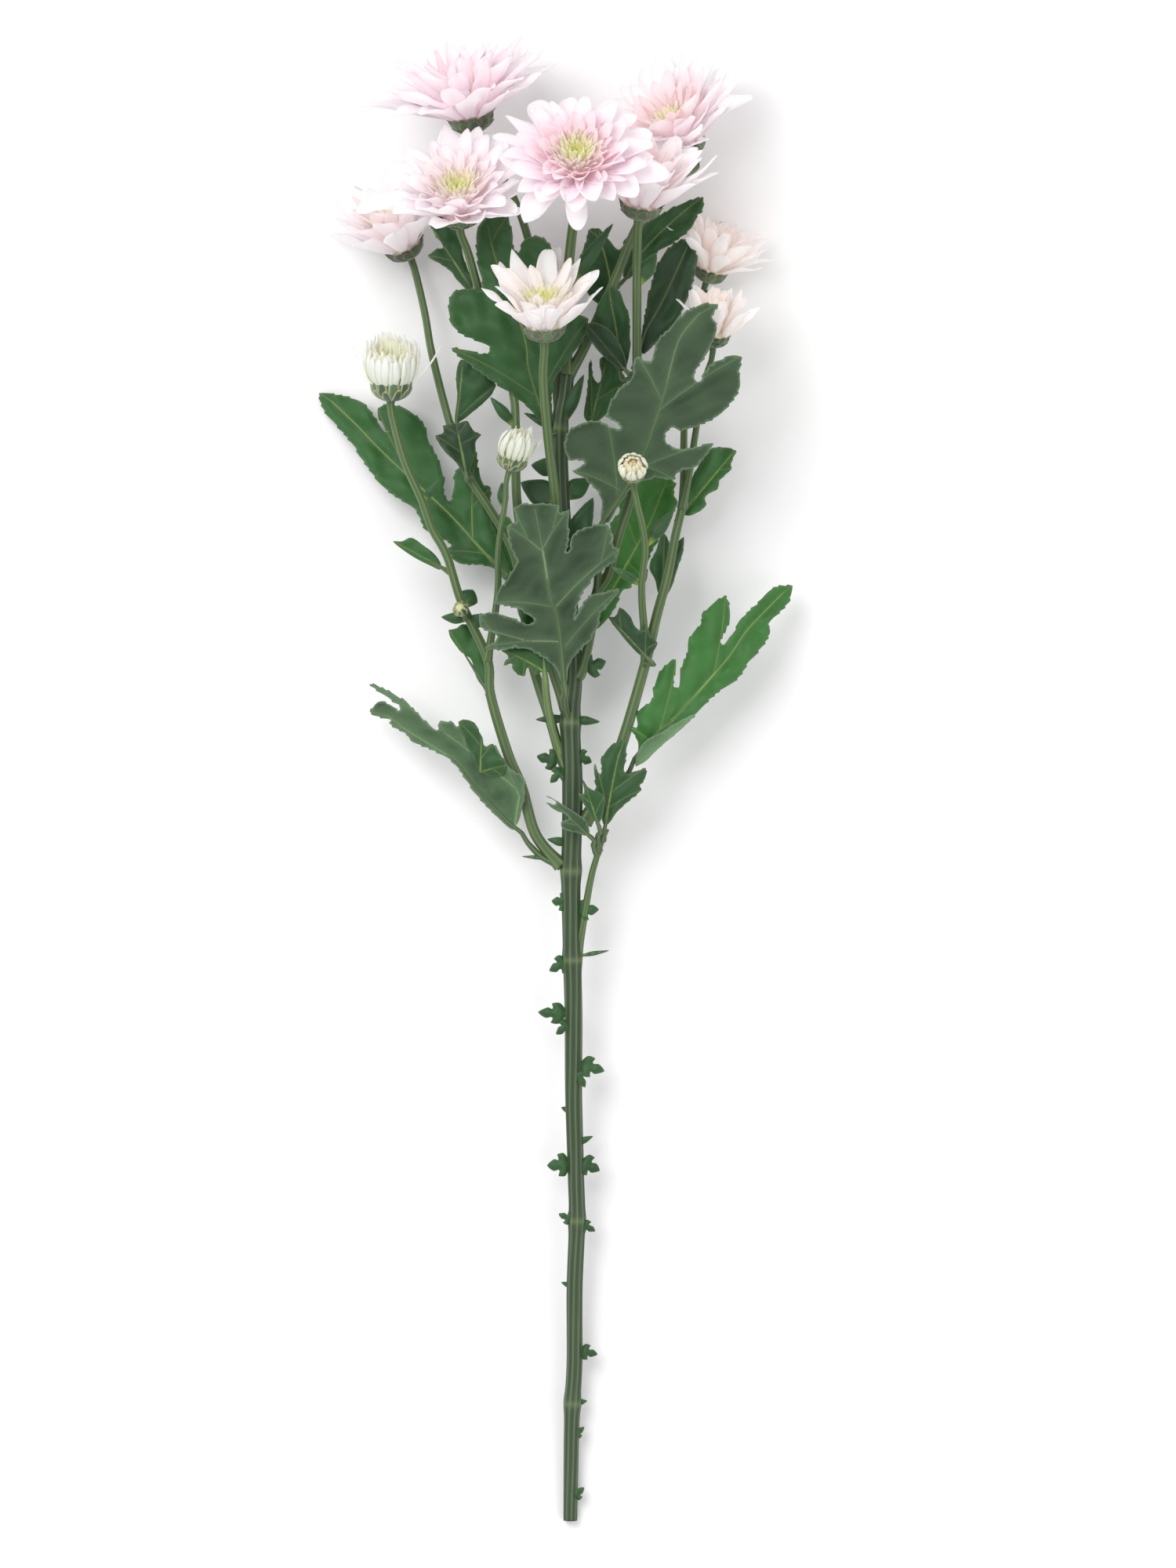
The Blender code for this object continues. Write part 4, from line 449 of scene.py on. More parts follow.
def step_between(low, high, value):
    """Smooth step from 0 at low to 1 at high."""
    t = np.clip((value - low) / (high - low), 0, 1)
    return t * t * (3 - 2 * t)


def placed(name, data):
    """An object of the scene, made from a mesh, a lamp or a camera."""
    obj = bpy.data.objects.new(name, data)
    bpy.context.scene.collection.objects.link(obj)
    return obj


def unit_rows(rows):
    """Each row of a table in plan made 1 long."""
    return rows / np.maximum(np.hypot(*rows.T), 1e-9)[:, None]


def running_length(points):
    """Distance along a line at each of its points."""
    return np.concatenate([[0], np.cumsum(np.linalg.norm(np.diff(points, axis=0), axis=1))])


# No point lies lower than this above the surface
FLOOR_GAP = 0.05


class Shape:
    """Points, faces and paint gathered for one piece."""

    def __init__(self):
        self.points = []
        self.faces = []
        self.slots = []
        self.tints = []
        self.flows = []
        self.count = 0

    def add(self, points, faces, tint, flow=(0, 0, 0)):
        """Adds points in rows of three and faces in rows of point numbers, in the piece's first material."""
        points = np.asarray(points, float).reshape(-1, 3)
        for group in faces:
            self.faces.extend((np.asarray(group) + self.count).tolist())
            self.slots.extend([0] * len(group))
        self.points.append(points)
        self.tints.append(np.broadcast_to(np.asarray(tint, float), points.shape))
        self.flows.append(np.broadcast_to(np.asarray(flow, float), points.shape))
        self.count += len(points)

    def piece(self, name, nodes, materials):
        mesh = bpy.data.meshes.new(name)
        places = np.concatenate(self.points) - [*CENTRE, 0]
        places[:, 2] = np.maximum(places[:, 2], FLOOR_GAP)
        places = places * MM
        mesh.from_pydata(places.tolist(), [], self.faces)
        tint = mesh.attributes.new("tint", "FLOAT_COLOR", "POINT")
        alpha = np.zeros((self.count, 1))
        tint.data.foreach_set("color", np.hstack([np.concatenate(self.tints), alpha]).ravel())
        flow = mesh.attributes.new("flow", "FLOAT_VECTOR", "POINT")
        flow.data.foreach_set("vector", np.concatenate(self.flows).ravel())
        for material in materials:
            mesh.materials.append(material)
        mesh.polygons.foreach_set("material_index", self.slots)
        mesh.polygons.foreach_set("use_smooth", [True] * len(self.faces))
        mesh.update()
        obj = placed(name, mesh)
        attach(obj, "root")
        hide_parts(*nodes)
        return obj


def sheet_faces(faces, count):
    """Faces of a closed blade: an upper sheet, the same sheet below it, and the rim between them."""
    faces = np.asarray(faces)
    starts, ends = faces.ravel(), np.roll(faces, -1, 1).ravel()
    open_edge = ~np.isin(starts * count + ends, ends * count + starts)
    starts, ends = starts[open_edge], ends[open_edge]
    return faces, faces[:, ::-1] + count, np.column_stack([starts, starts + count, ends + count, ends])


def grid_faces(rows, columns):
    """Quads of a grid of points, which face the side where columns turn left of rows."""
    index = np.arange(rows * columns).reshape(rows, columns)
    return np.stack([index[:-1, :-1], index[1:, :-1], index[1:, 1:], index[:-1, 1:]], -1).reshape(-1, 4)


def tube_faces(rings, sides, flipped=False):
    """Faces of rings of points, and of the fans that join each end to a point of its own, given last."""
    index = np.arange(rings * sides).reshape(rings, sides)
    after = np.roll(index, -1, 1)
    low = np.full(sides, rings * sides)
    groups = [(index[:-1], index[1:], after[1:], after[:-1]), (index[0], after[0], low),
              (after[-1], index[-1], low + 1)]
    if flipped:
        groups = [group[:1] + group[:0:-1] for group in groups]
    return [np.stack(group, -1).reshape(-1, len(group)) for group in groups]


def facing(spec):
    return Vector(spec["face"]).normalized()


def flower_places(spec, points):
    """Moves points from a flower's own frame, its axis along Z, to its place on the plant."""
    axis = facing(spec)
    right = (Vector((1, 0, 0)) - axis * axis.x).normalized()
    turn = np.array([right, axis.cross(right), axis])
    return np.asarray(points, float).reshape(-1, 3) @ turn + np.array(spec["at"], float)


def add_turned(shape, spec, profile, sides, tint):
    """Adds a solid of revolution about a flower's axis, its profile given from the bottom up."""
    profile = np.array(profile, float) * spec["size"]
    turn = np.arange(sides) * 2 * math.pi / sides
    rings = np.stack(np.broadcast_arrays(profile[:, :1] * np.cos(turn), profile[:, :1] * np.sin(turn),
                                         profile[:, 1:]), -1).reshape(-1, 3)
    points = np.vstack([rings, (0, 0, profile[0, 1]), (0, 0, profile[-1, 1])])
    shape.add(flower_places(spec, points), tube_faces(len(profile), sides, True), tint)


# How fast a petal widens from its claw and narrows to its tip, and its least width
CLAW_CURVE = 1.2
TIP_CURVE = 1.9
TIP_WIDTH = 0.0025


def petal_outline(along, broadest, claw, point):
    """Half width of a petal at each part of its length, 1 where it is broadest."""
    body = claw + (1 - claw) * np.sin(0.5 * math.pi * np.minimum(along / broadest, 1)) ** CLAW_CURVE
    tip = np.clip((along - broadest) / (1 - broadest), 0, 1)
    return body * np.maximum(1 - tip ** TIP_CURVE, TIP_WIDTH) ** point


# Petals: the crowding of points towards the tip, where the curl starts, the sway that goes with a ruffled
# rim, the waves of both, the scatter of the pointed tip, grooves, the notch in the tip and the thinner rim
TIP_CROWDING = 1.4
CURL_START = 0.5
SWAY = 0.6
SWAY_WAVES = 1.2
RUFFLE_WAVES = 1.7
POINT_SCATTER = 0.4
GROOVE_CURVE = 0.7
NOTCH_WIDTH = 0.3
NOTCH_CURVE = 8
RIM_THINNING = 0.6
# How far apart in their texture two petals may lie
FLOW_SPREAD = 9


def petals(shape, spec, at, form, paint):
    """Adds petals to a shape. Each entry of at has a value for each petal; form and paint serve them all."""
    rows, columns = form["grid"]
    count = len(at["turn"])
    along = 1 - (1 - np.linspace(0, 1, rows)) ** TIP_CROWDING
    across = np.linspace(-1, 1, columns)
    scatter = at["scatter"]
    phase = at["phase"][:, None]
    first, last = np.radians(at["tilts"])
    tilt = first[:, None] + (last - first)[:, None] * along
    tilt = tilt + form["curl"] * scatter[0][:, None] * np.maximum(along - CURL_START, 0) ** 2
    tilt = tilt + form["ruffle"] * SWAY * np.sin(2 * math.pi * (along * SWAY_WAVES + phase))
    middle = (tilt[:, 1:] + tilt[:, :-1]) / 2
    step = np.diff(along) * at["length"][:, None]
    start = np.zeros((count, 1))
    radius = at["radius"][:, None] + np.hstack([start, np.cumsum(np.sin(middle) * step, 1)])
    height = at["height"][:, None] + np.hstack([start, np.cumsum(np.cos(middle) * step, 1)])
    outward = np.stack([np.cos(at["turn"]), np.sin(at["turn"]), np.zeros(count)], -1)[:, None]
    side = np.stack([-np.sin(at["turn"]), np.cos(at["turn"]), np.zeros(count)], -1)[:, None]
    axis = np.array([0, 0, 1.0])
    inner = axis * np.sin(tilt)[..., None] - outward * np.cos(tilt)[..., None]
    reach = axis * np.cos(tilt)[..., None] + outward * np.sin(tilt)[..., None]
    twist = (form["twist"] * scatter[1][:, None] * along)[..., None]
    drift = (form["bend"] * scatter[2] * at["length"])[:, None] * along ** 2
    spine = outward * radius[..., None] + axis * height[..., None] + side * drift[..., None]
    wide = side * np.cos(twist) + inner * np.sin(twist)
    deep = inner * np.cos(twist) - side * np.sin(twist)
    point = form["point"] * (1 + POINT_SCATTER * scatter[3][:, None])
    half = at["width"][:, None] / 2 * petal_outline(along, form["broadest"], form["claw"], point)
    cup = form["cup"][0] + (form["cup"][1] - form["cup"][0]) * along
    cup = cup * (1 + form["cup_scatter"] * scatter[4][:, None])
    grooves = form["groove"] * np.cos(2 * math.pi * across) * np.sin(math.pi * along[:, None] ** GROOVE_CURVE)
    ruffle = form["ruffle"] * np.sin(2 * math.pi * (RUFFLE_WAVES * along + phase))
    lift = (half * cup)[..., None] * across ** 2 + grooves + (ruffle * half)[..., None] * across ** 3
    notch = form["notch"] * np.exp(-(across / NOTCH_WIDTH) ** 2) * along[:, None] ** NOTCH_CURVE
    sheet = spine[:, :, None] + wide[:, :, None] * (half[..., None] * across)[..., None]
    sheet = sheet + deep[:, :, None] * lift[..., None] - reach[:, :, None] * notch[..., None]
    thick = form["thickness"] / 2 * (1 - RIM_THINNING * across ** 2)[None, None, :, None] * deep[:, :, None]
    size = rows * columns
    starts = (np.arange(count) * 2 * size)[:, None, None]
    faces = [(part + starts).reshape(-1, 4) for part in sheet_faces(grid_faces(rows, columns), size)]
    points = np.stack([sheet + thick, sheet - thick], 1)
    tint = paint(at, along, across)
    flow = np.stack(np.broadcast_arrays(across * 0.5, along[:, None], phase[:, :, None] * FLOW_SPREAD), -1)
    tint, flow = (np.stack([both, both], 1).reshape(-1, 3) for both in (tint, flow))
    shape.add(flower_places(spec, points), faces, tint, flow)


# Natural scatter of petals: of the tilt at root and tip in degrees, and parts of length, width and distance
TILT_SCATTER = (3, 9)
LENGTH_SCATTER = 0.09
WIDTH_SCATTER = 0.15
TURN_SCATTER = 0.16


def scattered(rng, share, turn, first, last, length, width, radius, height, spread):
    """Petal places with natural scatter between them."""
    count = len(share)
    part = rng.uniform(-1, 1, (6, count))
    tilts = (first + TILT_SCATTER[0] * spread * part[0], last + TILT_SCATTER[1] * spread * part[1])
    return dict(
        share=share, turn=turn, tilts=tilts, length=length * (1 + LENGTH_SCATTER * part[2]),
        width=width * (1 + WIDTH_SCATTER * part[3]), radius=radius, height=height,
        scatter=rng.uniform(-1, 1, (5, count)), phase=rng.uniform(0, 1, count))


# Where ray petals spring from, outer and inner ones, as radius and height above the flower stalk
RAY_ROOTS = ((8.2, 3.4), (6.1, 9.2))


def whorls(spec, rng, spread):
    """Places for ray petals, ring by ring from the outside in, and for the loose ones."""
    table = []
    inmost = max(len(spec["rings"]) - 1, 1)
    for order, (count, *ring) in enumerate(spec["rings"]):
        for k in range(count):
            turn = (k + 0.5 * (order % 2) + TURN_SCATTER * rng.uniform(-1, 1)) / count
            table.append((2 * math.pi * turn, *ring, order / inmost))
    for turn, *ring in spec.get("loose", ()):
        table.append((math.radians(turn), *ring, 0))
    turn, first, last, length, width, share = np.array(table, float).T
    radius, height = (np.interp(share, (0, 1), ends) * spec["size"] for ends in RAY_ROOTS)
    length = length * (1 + spec["reach"] * np.sin(turn))
    return scattered(rng, share, turn, first, last, length, width, radius, height, spread)


def spiral(spec, rng, count, rings, radii, heights):
    """Places for small florets along a golden spiral, from the outside in."""
    share = (np.arange(count) + 0.5) / count
    table = np.array(rings, float) * (1, 1, spec["size"], spec["size"])
    knots = (np.arange(len(table)) + 0.5) / len(table)
    first, last, length, width = (np.interp(share, knots, column) for column in table.T)
    radius, height = (np.interp(share, (0, 1), ends) * spec["size"] for ends in (radii, heights))
    turn = np.arange(count) * GOLDEN
    return scattered(rng, share, turn, first, last, length, width, radius, height, 1.0)


# Forms of petals: points along and across, outline, cupping at the root and at the tip, and relief in mm
RAY = dict(grid=(16, 9), broadest=0.6, claw=0.4, point=0.7, cup=(0.6, 0.25), cup_scatter=1.1, groove=0.3,
           ruffle=0.16, curl=1.5, twist=0.42, bend=0.11, notch=0.5, thickness=0.26)
QUILL = dict(RAY, grid=(8, 5), broadest=0.72, claw=0.6, point=0.55, cup=(1.2, 0.9), groove=0.0, ruffle=0.03,
             curl=0.9, notch=0.3)
BUD_RAY = dict(RAY, grid=(10, 7), cup=(0.2, 0.45), cup_scatter=0.7, ruffle=0.04, curl=0.6, twist=0.3,
               bend=0.08, notch=0.3, groove=0.06)
FLORET = dict(QUILL, grid=(6, 5), broadest=0.55, cup=(1.3, 1.3), curl=0.3, notch=0.0)

# Colours of each flower's ray petals: tip and base of the outer ones, tip and base of the inner ones
PALETTES = {
    "a": ("FCF4F9", "F9DEE8", "FAE0E9", "F9D6DC"), "b": ("FCF6FA", "F9E2EA", "FAE4E8", "FBE0D8"),
    "c": ("FBEDF5", "F8D9E4", "F9CDD8", "FBD0CC"), "d": ("FCF3F8", "F9E2E8", "FAD9DF", "FBDCCE"),
    "e": ("FBF2F6", "F8E2E8", "FAE0E2", "FAE0CE"), "f": ("FAF3F8", "F6E4EA", "F8E4E6", "F4E6CC"),
    "g": ("FDF6F3", "FAEAE4", "FBE8E0", "FAE6D0"), "h": ("FDF6F7", "FAEDEC", "FBEFEA", "F8F0D4"),
    "i": ("FDF6F4", "FAEAE4", "FBE8E0", "F8EACC"), "j": ("FAF9F0", "F0F1D6", "F7F7DE", "E8EDA6"),
    "k": ("F2F0E0", "DADCB4", "F2F0D6", "DCE0A4"), "l": ("F2ECD0", "DDE0AE", "F2DFAE", "EBC888"),
    "n": ("FCF4F5", "F8E9E4", "F9ECE8", "F4F0D4"),
}
# Colours of the quills, from the outer ones to those in the middle, and of the youngest florets
WARM_QUILLS = ("FDE6E2", "FEEEDA", "FBF5B4", "ECEE7C")
PALE_QUILLS = ("FDECE6", "FDEED6", "FCF2BC", "FAF0A4")
GREEN_QUILLS = ("FCF6E6", "F8F4C6", "F0F090", "D6E05A")
CREAM_QUILLS = ("FCF5E8", "F9F3C8", "F4F098", "EAEA74")
QUILL_COLORS = {"b": WARM_QUILLS, "c": WARM_QUILLS, "f": GREEN_QUILLS, "h": CREAM_QUILLS, "j": GREEN_QUILLS}
FLORET_COLORS = ("E8ED74", "BCD840")
# Brightness of quills and florets at the root, and what it gains towards the tip
QUILL_FADE = (0.93, 0.07)
FLORET_FADE = (0.75, 0.3)
# How soon ray petals reach the colour of their tip, outer and inner ones, and the deeper rim of inner ones
OUTER_FADE = 1.25
INNER_FADE = 1.5
RIM_SHADE = np.array([0.94, 0.76, 0.82])
RIM_DEPTH = 0.5
RIM_CURVE = 6
# One petal is a little lighter than the next
PETAL_LIGHT = 0.975
PETAL_VARY = 0.03


def ray_paint(letter):
    tip_out, base_out, tip_in, base_in = (linear(code) for code in PALETTES[letter])

    def paint(at, along, across):
        share = np.broadcast_to(at["share"][:, None], (len(at["share"]), len(along)))
        rise = np.broadcast_to(along, share.shape)
        inner = mixed(base_in, tip_in, rise * INNER_FADE)
        color = mixed(mixed(base_out, tip_out, rise * OUTER_FADE), inner, step_between(0.1, 1.0, share))
        color = color * (PETAL_LIGHT + PETAL_VARY * at["phase"][:, None, None])
        edge = np.maximum(np.abs(across) ** RIM_CURVE, step_between(0.9, 1.0, along)[:, None]) * RIM_DEPTH
        rim = inner[:, :1, None] * RIM_SHADE
        return np.clip(mixed(color[:, :, None], rim, edge[None] * share[..., None]), 0, 1)
    return paint


def spiral_paint(colors, fade):
    """Paint for quills and florets, through a row of colours from the outer ones to those in the middle."""
    colors = np.array([linear(code) for code in colors])
    knots = np.linspace(0, 1, len(colors))

    def paint(at, along, across):
        color = np.stack([np.interp(at["share"], knots, column) for column in colors.T], -1)
        light = (fade[0] + fade[1] * along)[None, :, None, None] * np.ones((1, 1, len(across), 1))
        return np.clip(color[:, None, None] * light, 0, 1)
    return paint


# Profiles of the core that carries the petals and of the dome under the florets, as radius and height
CORE = [(7.6, 5.5), (8.6, 5.9), (7.6, 7.0), (5.4, 8.6), (3.0, 9.8), (1.2, 10.2)]
DOME = [(2.2, 10.2), (2.5, 11.4), (2.1, 12.7), (1.1, 13.5), (0.3, 13.8)]
CORE_SIDES = 24
DOME_SIDES = 16
# Rings of quills and florets from the outside in: tilt at the root and at the tip, length and width; then the
# radii and heights that the spiral runs between
QUILLS = [(32, 34, 15.5, 1.9), (27, 25, 15.5, 1.7), (21, 15, 14.5, 1.5), (13, 6, 12.5, 1.3), (6, -4, 10, 1.1)]
QUILL_ROOTS = ((4.2, 1.4), (8.6, 10.0))
FLORETS = [(32, 18, 6.5, 1.6), (22, 4, 5.5, 1.4), (10, -8, 4, 1.2)]
FLORET_ROOTS = ((2.6, 0.2), (10.9, 13.3))
FLORET_COUNT = 54
BUD_SPREAD = 0.4


def flower(letter, spec, materials):
    """Ray petals and quills on their core, as one piece."""
    rng = np.random.default_rng(SEED + ord(letter))
    shape = Shape()
    closed = letter in CLOSED_BUDS
    add_turned(shape, spec, CORE, CORE_SIDES, linear(PALETTES[letter][3]))
    at = whorls(spec, rng, BUD_SPREAD if closed else 1.0)
    petals(shape, spec, at, BUD_RAY if closed else RAY, ray_paint(letter))
    if spec["quills"]:
        at = spiral(spec, rng, spec["quills"], QUILLS, *QUILL_ROOTS)
        petals(shape, spec, at, QUILL, spiral_paint(QUILL_COLORS.get(letter, PALE_QUILLS), QUILL_FADE))
    return shape.piece(f"ray_petals_{letter}", [f"petals_{letter}"], [materials["petal"]])


def eye(letter, spec, materials):
    """Young florets in the middle of a flower, on a small dome."""
    rng = np.random.default_rng(SEED + EYE_SEED + ord(letter))
    shape = Shape()
    add_turned(shape, spec, DOME, DOME_SIDES, linear(FLORET_COLORS[1]) * 0.6)
    at = spiral(spec, rng, FLORET_COUNT, FLORETS, *FLORET_ROOTS)
    petals(shape, spec, at, FLORET, spiral_paint(FLORET_COLORS, FLORET_FADE))
    return shape.piece(f"young_florets_{letter}", [f"eye_{letter}"], [materials["floret"]])


# Added to the seed, so that each kind of piece has random numbers of its own
EYE_SEED = 100
CALYX_SEED = 200
TINY_BUD_SEED = 300

BRACT_GREEN = ("324E38", "567450")
BRACT_EDGE = "8A7F58"
BUD_BRACT_EDGE = "CFCB8C"
TINY_BUD_MIDDLE = "C4C890"
# Rows of bracts from the inside out: count, start and end along the cup, width and lift
BRACT_ROWS = [(13, 0.5, 1.0, 5.0, 0.05), (11, 0.3, 0.86, 4.8, 0.25), (10, 0.06, 0.62, 4.2, 0.45)]
TINY_BUD_ROWS = [(8, 0.1, 0.84, 2.4, 0.05), (7, 0.02, 0.6, 2.3, 0.2)]
CUP_SIDES = 40
TINY_BUD_SIDES = 24
# Bracts: points along and across, outline, half thickness, keel, scatter, flare and the colour of the rim
BRACT_GRID = (10, 7)
BRACT_OUTLINE = (0.5, 0.75, 0.5)
BRACT_HALF_THICKNESS = 0.15
BRACT_KEEL = 0.2
BRACT_SCATTER = 0.12
BRACT_FLARE = 0.5
BRACT_RIM_CURVE = 7
BRACT_RIM_DEPTH = 0.85
# Bracts are no narrower round the axis than at this radius
LEAST_BRACT_RADIUS = 1.5


def bracts(shape, spec, profile, rows, rng, edge_code):
    """Overlapping bracts that hug a cup, row by row."""
    profile = np.array(profile, float)
    runs = running_length(profile)
    along = np.linspace(0, 1, BRACT_GRID[0])
    across = np.linspace(1, -1, BRACT_GRID[1])
    faces = sheet_faces(grid_faces(*BRACT_GRID), len(along) * len(across))
    for order, (number, start, end, width, lift) in enumerate(rows):
        for k in range(number):
            turn = 2 * math.pi * (k + 0.5 * (order % 2) + rng.uniform(-BRACT_SCATTER, BRACT_SCATTER)) / number
            run = (start + (end * rng.uniform(0.95, 1.04) - start) * along) * runs[-1]
            radius, height = (np.interp(run, runs, column)[:, None] for column in profile.T)
            slope_r, slope_h = np.gradient(radius, axis=0), np.gradient(height, axis=0)
            long = np.hypot(slope_r, slope_h)
            half = width / 2 * petal_outline(along, *BRACT_OUTLINE)
            flare = lift + BRACT_FLARE * along ** 3 * rng.uniform(0.2, 1.3)
            offset = flare[:, None] + BRACT_KEEL * (1 - across ** 2) * (1 - along[:, None] * 0.5)
            angle = turn + half[:, None] * across / np.maximum(radius, LEAST_BRACT_RADIUS)
            sheets = []
            for way in (BRACT_HALF_THICKNESS, -BRACT_HALF_THICKNESS):
                out = offset + way * (1 - 0.5 * across ** 2)
                r, h = radius + slope_h / long * out, height - slope_r / long * out
                sheets.append(np.stack([r * np.cos(angle), r * np.sin(angle), h], -1))
            edge = np.maximum(np.abs(across) ** BRACT_RIM_CURVE, step_between(0.86, 1.0, along)[:, None])
            green = mixed(linear(BRACT_GREEN[0]), linear(BRACT_GREEN[1]), rng.uniform(0, 1))
            color = mixed(green * rng.uniform(0.8, 1.1), linear(edge_code), edge * BRACT_RIM_DEPTH)
            flow = np.stack(np.broadcast_arrays(across * 0.5, along[:, None], turn), -1).reshape(-1, 3)
            shape.add(flower_places(spec, np.array(sheets).reshape(-1, 3) * spec["size"]), faces,
                      np.tile(color.reshape(-1, 3), (2, 1)), np.tile(flow, (2, 1)))


def calyx(letter, spec, materials):
    """The green cup under a flower, with three rows of overlapping bracts."""
    rng = random.Random(SEED + CALYX_SEED + ord(letter))
    shape = Shape()
    add_turned(shape, spec, CUP_PROFILE + CUP_INSIDE, CUP_SIDES, linear(BRACT_GREEN[0]) * 0.8)
    rim, edge = (BUD_RIM, BUD_BRACT_EDGE) if letter in CLOSED_BUDS else (OPEN_RIM, BRACT_EDGE)
    bracts(shape, spec, CUP_PROFILE + rim, BRACT_ROWS, rng, edge)
    return shape.piece(f"bracts_{letter}", [f"calyx_{letter}"], [materials["bract"]])


def tiny_bud(materials):
    """The smallest bud, its bracts closed over a pale middle."""
    rng = random.Random(SEED + TINY_BUD_SEED)
    shape = Shape()
    add_turned(shape, TINY_BUD, BUD_PROFILE, TINY_BUD_SIDES, linear(TINY_BUD_MIDDLE))
    bracts(shape, TINY_BUD, BUD_PROFILE, TINY_BUD_ROWS, rng, BUD_BRACT_EDGE)
    return shape.piece("closed_bud_m", ["bud_m"], [materials["bract"]])


def smooth_path(points, step):
    """Points along a smooth curve that passes through every point given."""
    points = [Vector(p) for p in points]
    path = [points[0]]
    for i in range(len(points) - 1):
        a = points[max(i - 1, 0)]
        b = points[i]
        c = points[i + 1]
        d = points[min(i + 2, len(points) - 1)]
        count = max(1, round((c - b).length / step))
        for k in range(1, count + 1):
            t = k / count
            path.append(0.5 * (2 * b + (c - a) * t + (2 * a - 5 * b + 4 * c - d) * t ** 2
                               + (3 * b - a - 3 * c + d) * t ** 3))
    return path


# How fast the ribs of a stem turn round it, in radians a millimetre; ribs, sides and relief of each tube
RIB_TWIST = 0.004
MAIN_TUBE = dict(ribs=9, sides=45, relief=0.045)
BRANCH_TUBE = dict(ribs=6, sides=24, relief=0.06)
LEAF_STALK_TUBE = dict(ribs=4, sides=12, relief=0.06, flat=0.86)


def ribbed_tube(shape, path, radii, tint, ribs, sides, relief, flat=1.0):
    """A closed tube with ribs along it; tint gives a colour for each point along and round it."""
    path = np.array([tuple(p) for p in path])
    radii = np.array(radii)
    along = np.gradient(path, axis=0)
    along = along / np.linalg.norm(along, axis=1)[:, None]
    right = np.zeros_like(path)
    guide = np.array([1.0, 0, 0]) if abs(along[0][0]) < 0.9 else np.array([0, 0, 1.0])
    for i, direction in enumerate(along):
        guide = guide - direction * guide.dot(direction)
        guide = guide / np.linalg.norm(guide)
        right[i] = guide
    above = np.cross(right, along)
    turn = np.arange(sides) * 2 * math.pi / sides
    run = running_length(path)
    crest = np.cos(ribs * (turn + run[:, None] * RIB_TWIST))
    size = radii[:, None] * (1 + relief * crest)
    ring = path[:, None] + right[:, None] * (size * np.cos(turn))[..., None]
    ring = ring + above[:, None] * (size * np.sin(turn) * flat)[..., None]
    points = np.vstack([ring.reshape(-1, 3), path[:1], path[-1:]])
    color = tint(path[:, 1], crest)
    ends = [color[0].mean(0), color[-1].mean(0)]
    flow = np.stack(np.broadcast_arrays(turn, run[:, None] / 10, radii[:, None]), -1).reshape(-1, 3)
    shape.add(points, tube_faces(len(path), sides), np.vstack([color.reshape(-1, 3), ends]),
              np.vstack([flow, flow[:1], flow[-1:]]))


def stem_radius(y):
    swelling = max(math.exp(-((y - place) / NODE_REACH) ** 2) for place in STEM_NODES)
    return np.interp(y, *zip(*STEM_RADIUS)) * (1 + (NODE_SWELLING - 1) * swelling)


STEM_DARK = "33492B"
STEM_RIB = "72875F"
STEM_LOW = "3F5338"
STEM_NODE = "7F9160"
STEM_FRESH = "6F8A50"
# The stem is greyer up to this distance from its cut end, darker between its ribs, and paler at its nodes
GREY_REACH = 220
STEM_SHADE = (0.85, 0.2)
RIB_SHARE = 0.5
NODE_RING = 1.3
NODE_SHARE = 0.35


def stem_tint(fresh):
    """Paint for a stem: pale ribs, greyer low down, a pale ring at each node, fresher on young stalks."""
    def tint(y, crest):
        base = mixed(linear(STEM_LOW), linear(STEM_DARK), step_between(0, GREY_REACH, y))
        base = mixed(base, linear(STEM_FRESH), np.full(len(y), fresh))
        base = base[:, None] * (STEM_SHADE[0] + STEM_SHADE[1] * crest)[..., None]
        color = mixed(base, linear(STEM_RIB), RIB_SHARE * step_between(0.55, 1.0, crest))
        if fresh == 0:
            ring = sum(np.exp(-((y - place) / NODE_RING) ** 2) for place in STEM_NODES)
            color = mixed(color, linear(STEM_NODE), np.broadcast_to(NODE_SHARE * ring[:, None], crest.shape))
        return color
    return tint


# Distance between the points of a centre line
PATH_STEP = 2.0
# Branches and stalks are thicker by these shares where they spring from the stem and under their flower, over
# these distances
ROOT_SWELLING = (0.35, 7)
NECK_SWELLING = (0.3, 3)


def stem_paths():
    """Centre line and radii of the stem and of every branch that ends in a flower or bud."""
    routes = {name: list(points) for name, points in ROUTES.items()}
    ends = {f"branch_{letter}": (spec, STALK_RUN) for letter, spec in BLOOMS.items()}
    ends["stalk_m"] = (TINY_BUD, TINY_STALK_RUN)
    for name, (spec, reach) in ends.items():
        base = Vector(spec["at"])
        routes[name].append(tuple(base - facing(spec) * reach))
        routes[name].append(tuple(base + facing(spec) * 0.5))
    paths = {}
    for name, points in routes.items():
        path = smooth_path(points, PATH_STEP)
        if name == "main":
            radii = [stem_radius(p.y) for p in path]
        else:
            root, end = BRANCH_RADII[name]
            run = np.arange(len(path)) * PATH_STEP
            radii = root + (end - root) * np.linspace(0, 1, len(path))
            radii = radii * (1 + ROOT_SWELLING[0] * np.exp(-(run / ROOT_SWELLING[1]) ** 2))
            if name in ends:
                radii = radii * (1 + NECK_SWELLING[0] * np.exp(-((run[-1] - run) / NECK_SWELLING[1]) ** 2))
        paths[name] = (path, radii)
    return paths


def nearest_on_paths(paths, place):
    """The nearest point of any centre line, where a small leaf or leaf stalk is rooted."""
    best = None
    for path, _ in paths.values():
        for a, b in zip(path, path[1:]):
            t = max(0.0, min(1.0, (place - a).dot(b - a) / (b - a).length_squared))
            spot = a.lerp(b, t)
            if best is None or (spot - place).length < (best - place).length:
                best = spot
    return best


# Share of a blade along which its stalk runs on as a rib
ON_BLADE = 0.8
